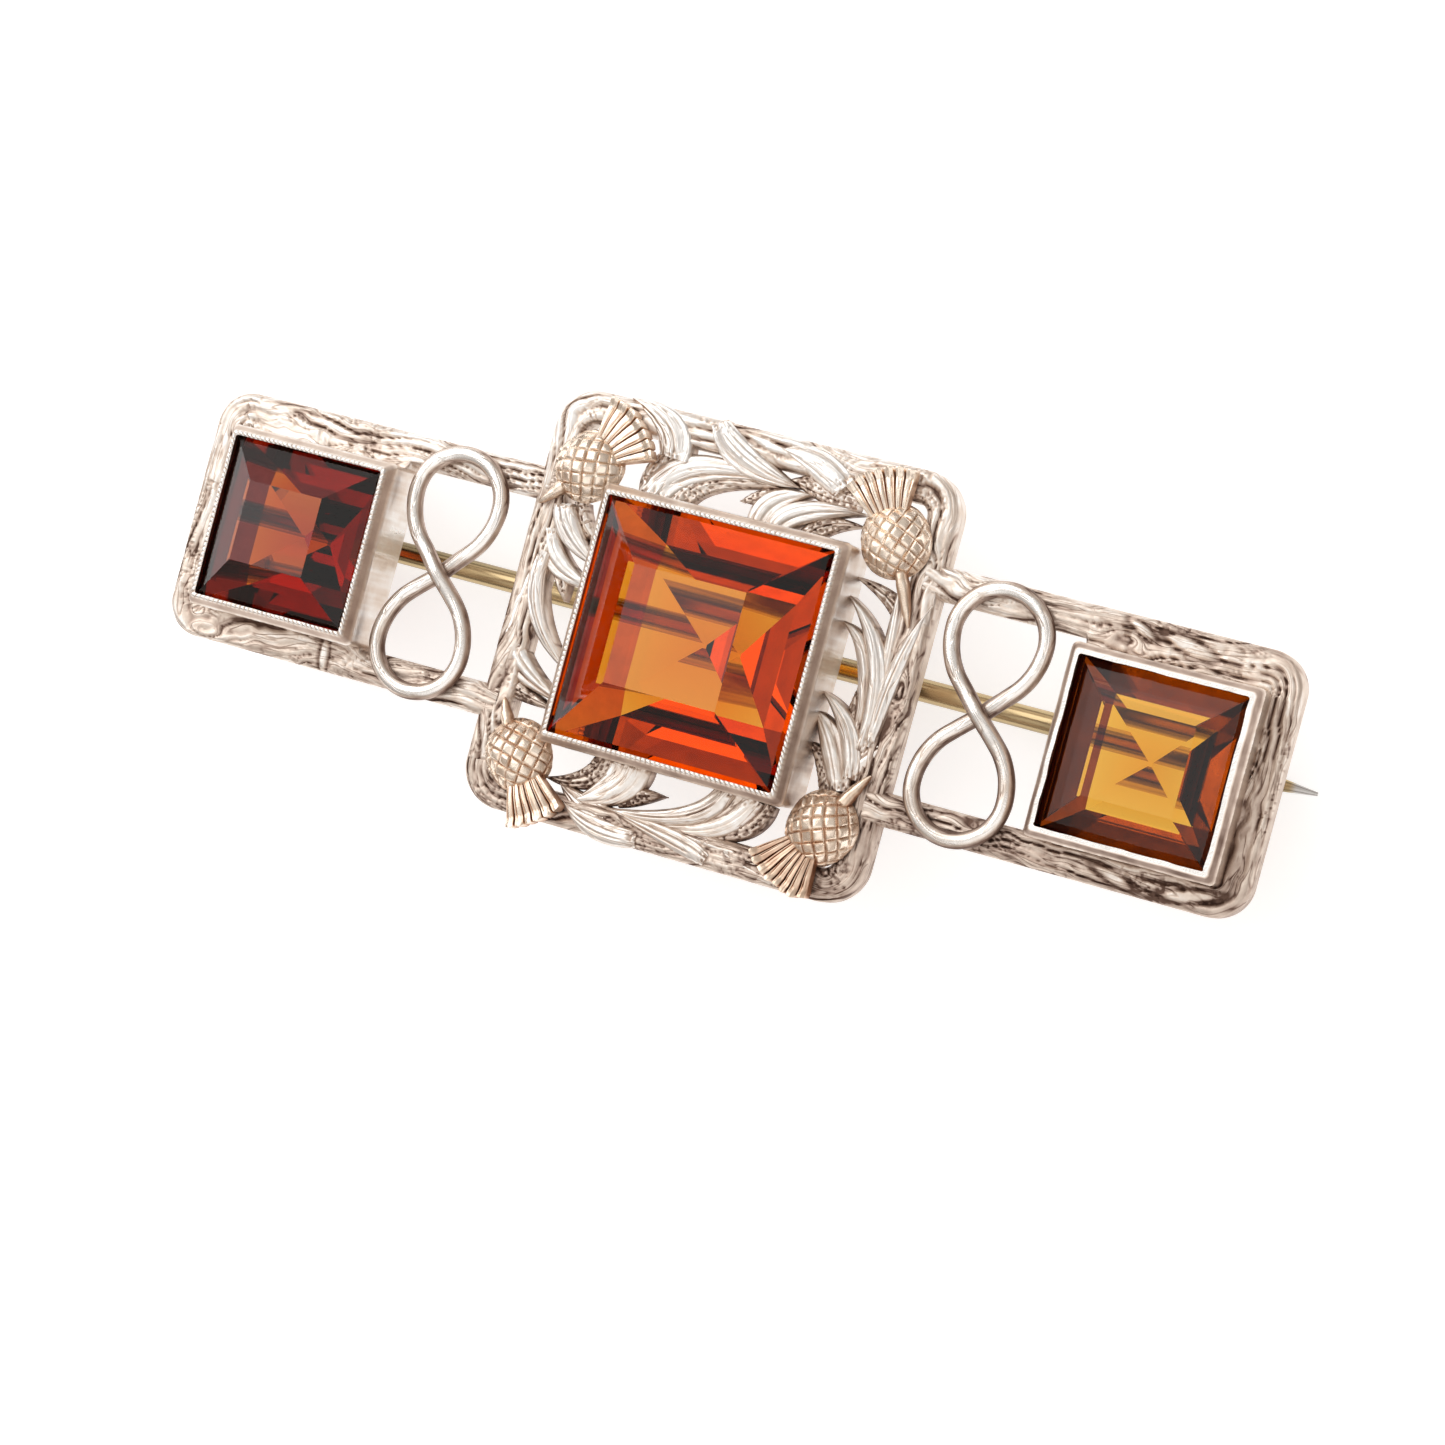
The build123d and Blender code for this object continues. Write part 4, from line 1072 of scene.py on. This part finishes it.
def bulb_rings(sizes, seed):
    """Thistle bulb along X: round sections with a flat underside, netted with crossed bands.

    The section's radius is R sqrt(1 - x^2) behind the middle, and grows from the neck's before it.
    Cuts lie where the length along the bulb, plus or minus the way round it, is near a whole pitch. The
    pads between them are each tilted a little their own way, with a thin burr along every cut.
    """
    half, radius, neck = sizes.bulb_length / MM / 2, sizes.bulb_radius / MM, sizes.neck_radius / MM
    sink, cut_width, burr_place, burr_width, grain_size, patch_size = 0.5, 0.055, 0.12, 0.045, 0.16, 1.3
    x = -np.cos(np.linspace(0.09, 1, 72) * pi)[:, None]
    round_part = np.sqrt(np.clip(1 - x**2, 0, 1))
    section = np.where(x < 0, radius * round_part, neck + (radius - neck) * round_part)
    section = np.maximum(section, sink * 1.02)
    low_angle = np.arcsin(sink / section)
    p = np.linspace(0, 1, 64)[None, :]
    angle = low_angle + (pi - 2 * low_angle) * p
    strides = [np.diff(side, axis=0, prepend=side[:1]) for side in (x * half, section)]
    length_along = np.cumsum(np.hypot(*strides), axis=0)
    way_round = radius * (angle - pi / 2) * (0.35 + 0.65 * section / radius)
    pitch = sizes.net_pitch / MM
    first, second = (length_along + way_round) / pitch, (length_along - way_round) / pitch
    to_cut = [np.abs(f - np.round(f)) * pitch for f in (first, second)]
    net = 1 - np.maximum(*[bell(distance, cut_width) for distance in to_cut])
    pad = np.minimum(1, np.minimum(*to_cut) / (0.3 * pitch))
    column, row = np.floor(first), np.floor(second)
    tilt = (lattice(column, row, seed) - 0.5) * (first - column - 0.5)
    tilt = tilt + (lattice(column, row, seed + 1) - 0.5) * (second - row - 0.5)
    burr = np.maximum(*[bell(distance - burr_place, burr_width) for distance in to_cut])
    grain = layered_noise(length_along / grain_size, way_round / grain_size, seed)
    depth = sizes.net_depth / MM * (1 - net) + 0.06 * (1 - pad) ** 2 - 0.3 * tilt * net
    depth = depth * step(0.0, 0.12, np.minimum(p, 1 - p)) - 0.03 * grain - 0.02 * burr
    size = section - depth
    top = spread(x * half, -size * np.cos(angle), np.maximum(size * np.sin(angle) - sink, 0))
    patch = layered_noise(length_along / patch_size, way_round / patch_size, seed + 2)
    bright = np.clip(0.28 + 0.5 * net + 0.12 * pad + 0.35 * grain + 0.6 * patch + 0.15 * burr, 0, 1)
    return flat_backed(top, bright)


def tuft_rings(sizes, half_spread, ribs, seed):
    """Fan of petals from the neck: each point runs straight from the neck's width to the outer arc.

    Across the fan the height is a row of |cos| ribs that grow and flare upwards towards a scalloped end.
    """
    start, twin_place, twin_width = sizes.bulb_length / MM / 2 - 0.55, 0.27, 0.035
    neck, reach = sizes.neck_radius / MM, sizes.tuft_reach / MM
    t = np.linspace(0, 1, 30)[:, None]
    p = np.linspace(-1, 1, 22 * ribs + 1)[None, :]
    shift = 0.5 * (soft_noise(ribs * (p + 1) / 3, 0, seed + 7) - 0.5)
    rib_phase = ribs * (p + 1) / 2 + shift * (1 - p**2)
    place_in_rib = rib_phase - np.floor(rib_phase)
    valley = np.abs(rib_phase - np.round(rib_phase)) * 2
    twin = bell(place_in_rib - twin_place, twin_width) * step(0.08, 0.2, t) * (1 - step(0.7, 0.95, t))
    crest = step(0.0, 0.22, valley) * (0.85 + 0.15 * valley) - 0.35 * twin
    uneven = 1 + 0.05 * (soft_noise(ribs * (p + 1) / 2 + 0.5, 0, seed) - 0.5)
    end_radius = reach * uneven * (0.95 + 0.07 * crest)
    angle = radians(half_spread) * p
    streak = layered_noise(t * 3, p * ribs * 2, seed + 3)
    height = 0.42 + 0.55 * np.sin(pi * np.minimum(t * 0.55 + 0.1, 1)) * (1 - 0.25 * p**2) - 0.2 * t
    leaning = (lattice(np.floor(rib_phase), 0, seed + 5) - 0.5) * (place_in_rib - 0.5)
    flare = 0.3 * step(0.78, 1.0, t) * crest
    z = height - (0.12 + 0.2 * t) * (1 - crest) + 0.06 * streak + 0.3 * leaning * t + flare
    x = start * (1 - t) + end_radius * np.cos(angle) * t
    y = neck * p * (1 - t) + end_radius * np.sin(angle) * t
    # The flared ends of the crests carry a painted highlight
    bright = np.clip(0.2 + 0.68 * crest + 0.45 * streak + 0.25 * step(0.75, 1.0, t) * crest, 0, 1)
    return flat_backed(spread(x, y, z), bright)


def stem_rings(sizes, stem_length, seed):
    """Short stem: a half-round bar that bends a little and narrows to a blunt point away from the bulb."""
    half, into_bulb = sizes.bulb_length / MM / 2, 0.5
    t = np.linspace(0, 1, 30)[:, None]
    x = -half - stem_length + (stem_length + into_bulb) * t
    p = np.linspace(-1, 1, 15)[None, :]
    narrow = np.sqrt(np.clip(t / 0.75, 0.02, 1))
    width = (0.33 + 0.1 * layered_noise(x / 0.5, 0, seed)) * narrow
    y = width * p + 0.16 * (1 - t) ** 2
    z = 0.1 + 0.1 * t + 0.4 * narrow * np.sqrt(1 - 0.98 * p**2)
    z = z + 0.05 * layered_noise(x / 0.3, p * 2, seed + 1)
    bright = np.clip(0.85 - 0.5 * p**4 + 0.5 * layered_noise(x / 0.4, p * 1.5, seed + 3), 0, 1)
    return flat_backed(spread(x, y, z), bright)


class BROOCH_OT_thistles(bpy.types.Operator):
    """Make the four gold thistles"""

    bl_idname = "brooch.thistles"
    bl_label = "Gold thistles"

    def execute(self, context):
        sizes = context.scene.brooch_thistles
        finish = context.scene.brooch_finishes
        metal = worn_and_shaded_metal("rose_gold", finish.gold, finish.gold_recess)
        seat = sizes.seat_height / MM + SOLDER_GAP
        for k, (name, middle_x, middle_y, direction, half_spread, stem, ribs, *shades) in enumerate(THISTLES):
            seed = THISTLE_SEED + 9 * k
            parts = [bulb_rings(sizes, seed), tuft_rings(sizes, half_spread, ribs, seed + 1)]
            parts.append(stem_rings(sizes, stem, seed + 2))
            shells = []
            # Each bulb and tuft takes its thistle's painted light and shade
            for (rings, relief), shade in zip(parts, (*shades, 0.0)):
                x, y = rotated(rings[..., 0], rings[..., 1], direction)
                rings = spread(middle_x + x, middle_y + y, rings[..., 2] + seat)
                shells.append(shell(rings, np.clip(relief + shade, 0, 1)))
            make_piece("gold_thistle_" + name, shells, metal, "gold", ["thistle_" + name])
        return {"FINISHED"}


def arc(radius, angles):
    """Points of a circle about the origin at these angles."""
    return spread(radius * np.cos(angles), radius * np.sin(angles))


def hinge_ear(rivet, side):
    """One ear of the hinge: a round end below the rivet and straight sides up into the back.

    Its flat outline is carried sideways between two faces, each drawn in a little to soften its edge.
    """
    inset, low, high = 0.06, *sorted((side * EAR_SIDES[0], side * EAR_SIDES[1]))
    rise = np.linspace(0.3 - rivet[2], 0.2, 6)
    left, right = spread(-EAR_RADIUS, rise), spread(EAR_RADIUS, rise[::-1])
    outline = np.concatenate([left, arc(EAR_RADIUS, np.linspace(pi, 2 * pi, 22)), right])
    middle = outline.mean(axis=0)
    drawn = middle + (outline - middle) * (1 - inset / np.abs(outline - middle).max())
    plans = np.stack([drawn, outline, outline, drawn])
    places = np.array([low, low + inset, high - inset, high])[:, None]
    return spread(rivet[0] + plans[..., 0], rivet[1] + places, rivet[2] + plans[..., 1])


def catch_hook(catch_x, rivet):
    """The catch: a C about the pin's line with its mouth away from the back, carried along X."""
    mouth, edge = np.arcsin(CATCH_MOUTH / EAR_RADIUS), 0.06
    sweep = np.linspace(-pi / 2 + mouth, 1.5 * pi - mouth, 40)
    hook = np.concatenate([arc(EAR_RADIUS, sweep), arc(CATCH_INNER, sweep[::-1])])
    ends = np.array([-CATCH_HALF, edge - CATCH_HALF, CATCH_HALF - edge, CATCH_HALF])[:, None]
    return spread(catch_x + ends, rivet[1] + hook[:, 0], rivet[2] + hook[:, 1])


def catch_block(catch_x, rivet):
    """The block between the catch and the back: a square with cut corners carried upwards."""
    corner = np.linspace(0, 2 * pi, 16, endpoint=False) + pi / 16
    lengthwise, sideways = (np.clip(1.3 * wave(corner), -1, 1) for wave in (np.cos, np.sin))
    half_length, half_width, into_back = 0.72, 0.6, 0.3
    heights = np.array([rivet[2] + 1.2, rivet[2] + 1.5, rivet[2] + 1.8, into_back])[:, None]
    return spread(catch_x + half_length * lengthwise, rivet[1] + half_width * sideways, heights)


class BROOCH_OT_fastening(bpy.types.Operator):
    """Make the hinge's ears and the catch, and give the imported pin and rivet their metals"""

    bl_idname = "brooch.fastening"
    bl_label = "Pin, hinge and catch"

    def execute(self, context):
        finish = context.scene.brooch_finishes
        metal = worn_and_shaded_silver("back_silver")
        rivet = [sum(local_span(rivet_low, rivet_high, axis)) / 2 for axis in range(3)]
        catch_x = local_span(silver_low, silver_high, 0)[1] - CATCH_INSET
        pieces = [
            (hinge_ear(rivet, -1), 0.75), (hinge_ear(rivet, 1), 0.75),
            (catch_hook(catch_x, rivet), 0.75), (catch_block(catch_x, rivet), 0.6),
        ]
        shells = [shell(rings, np.full(rings.shape[:2], relief)) for rings, relief in pieces]
        make_silver("hinge_ears_and_catch", shells, metal)
        tip = [0.6 * part for part in finish.silver]
        tip_start = silver_high.x - 0.4 * MM
        dress_node("pin_stem", drawn_metal("pin_brass", finish.brass, tip, tip_start))
        dress_node("hinge_rivet", drawn_metal("rivet_silver", finish.silver))
        return {"FINISHED"}


def camera_matrix(place, aim, roll):
    """Camera turned towards its aim with +Y up, then rolled about its own axis."""
    place, aim = Vector(place), Vector(aim)
    ahead = (aim - place).normalized()
    side = ahead.cross(Vector((0, 1, 0))).normalized()
    up = side.cross(ahead)
    rolled_up = up * cos(roll) + side * sin(roll)
    rolled_side = side * cos(roll) - up * sin(roll)
    turn = Matrix((rolled_side, rolled_up, -ahead)).transposed().to_4x4()
    return Matrix.Translation(place) @ turn


def soft_room(strength):
    """Light from all round: dim and warm near the floor, soft overhead, with two broad bright lights."""
    world = bpy.data.worlds.new("soft_room")
    world.use_nodes = True
    place = add_node(world, "ShaderNodeTexCoord").outputs["Generated"]
    rising = add_node(world, "ShaderNodeSeparateXYZ", {"Vector": place}).outputs["Z"]
    colour = ramp_node(world, rising, ROOM_COLOURS)
    for towards, brightness in ROOM_LIGHTS:
        inputs = {0: place, 1: Vector(towards).normalized()}
        nearness = add_node(world, "ShaderNodeVectorMath", inputs, operation="DOT_PRODUCT")
        stops = [(LIGHT_STARTS, BLACK), (LIGHT_FULL, (brightness,) * 3)]
        glow = ramp_node(world, nearness.outputs["Value"], stops)
        joined = add_node(world, "ShaderNodeVectorMath", {0: colour, 1: glow}, operation="ADD")
        colour = joined.outputs["Vector"]
    background = world.node_tree.nodes["Background"]
    set_inputs(world, background, {"Color": colour, "Strength": strength})
    return world


class BROOCH_OT_stage(bpy.types.Operator):
    """Make the floor, the light and the camera"""

    bl_idname = "brooch.stage"
    bl_label = "Floor, light and camera"

    def execute(self, context):
        scene = context.scene
        sizes = scene.brooch_stage
        mesh = bpy.data.meshes.new("floor")
        corners = [(x * sizes.floor_width / 2, y * sizes.floor_width / 2, 0) for x, y in SQUARE[::-1]]
        mesh.from_pydata(corners, [], [(0, 1, 2, 3)])
        floor = bpy.data.objects.new("floor", mesh)
        scene.collection.objects.link(floor)
        paper, shader, _ = new_material("white_paper")
        tone = ramp_node(paper, noise_node(paper, 30.0, 2.0), [(0.0, (0.6,) * 3), (1.0, (0.63,) * 3)])
        set_inputs(paper, shader, {
            "Base Color": tone, "Roughness": 0.9,
            "Emission Color": (1.0, 0.995, 0.99, 1.0), "Emission Strength": sizes.floor_glow,
        })
        mesh.materials.append(paper)
        scene.world = soft_room(sizes.room_light)
        scene.view_settings.view_transform = "Standard"
        camera = bpy.data.cameras.new("camera")
        camera.lens = sizes.lens
        camera.sensor_width = 36.0
        camera.clip_start = 0.005
        camera.clip_end = 10.0
        holder = bpy.data.objects.new("camera", camera)
        back = Vector(PANEL_ORIGIN * MM)
        place, aim = back + Vector(sizes.camera_place), back + Vector(sizes.camera_aim)
        holder.matrix_world = camera_matrix(place, aim, sizes.roll)
        scene.collection.objects.link(holder)
        scene.camera = holder
        return {"FINISHED"}


OPERATORS = [
    BROOCH_OT_rails, BROOCH_OT_leaves, BROOCH_OT_settings, BROOCH_OT_stones, BROOCH_OT_wires,
    BROOCH_OT_thistles, BROOCH_OT_fastening, BROOCH_OT_stage,
]

PROPERTY_GROUPS = {
    "brooch_rails": RailSizes,
    "brooch_leaves": LeafSizes,
    "brooch_settings": SettingSizes,
    "brooch_wires": WireSizes,
    "brooch_thistles": ThistleSizes,
    "brooch_finishes": Finishes,
    "brooch_stage": StageSizes,
}


class BROOCH_PT_sidebar(bpy.types.Panel):
    """Lists the brooch's operators and sizes"""

    bl_label = "Thistle brooch"
    bl_idname = "BROOCH_PT_sidebar"
    bl_space_type = "VIEW_3D"
    bl_region_type = "UI"
    bl_category = "Brooch"

    def draw(self, context):
        for operator in OPERATORS:
            self.layout.operator(operator.bl_idname)
        for name, group in PROPERTY_GROUPS.items():
            box = self.layout.box()
            box.label(text=group.bl_rna.name)
            for prop in group.__annotations__:
                box.prop(getattr(context.scene, name), prop)


def register():
    for group in PROPERTY_GROUPS.values():
        bpy.utils.register_class(group)
    for name, group in PROPERTY_GROUPS.items():
        setattr(bpy.types.Scene, name, PointerProperty(type=group))
    for operator in OPERATORS:
        bpy.utils.register_class(operator)
    bpy.utils.register_class(BROOCH_PT_sidebar)


def unregister():
    bpy.utils.unregister_class(BROOCH_PT_sidebar)
    for operator in reversed(OPERATORS):
        bpy.utils.unregister_class(operator)
    for name, group in PROPERTY_GROUPS.items():
        delattr(bpy.types.Scene, name)
        bpy.utils.unregister_class(group)


def main():
    """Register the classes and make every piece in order."""
    register()
    for name in ("rails", "leaves", "settings", "stones", "wires", "thistles", "fastening", "stage"):
        getattr(bpy.ops.brooch, name)()


if __name__ == "__main__":
    main()
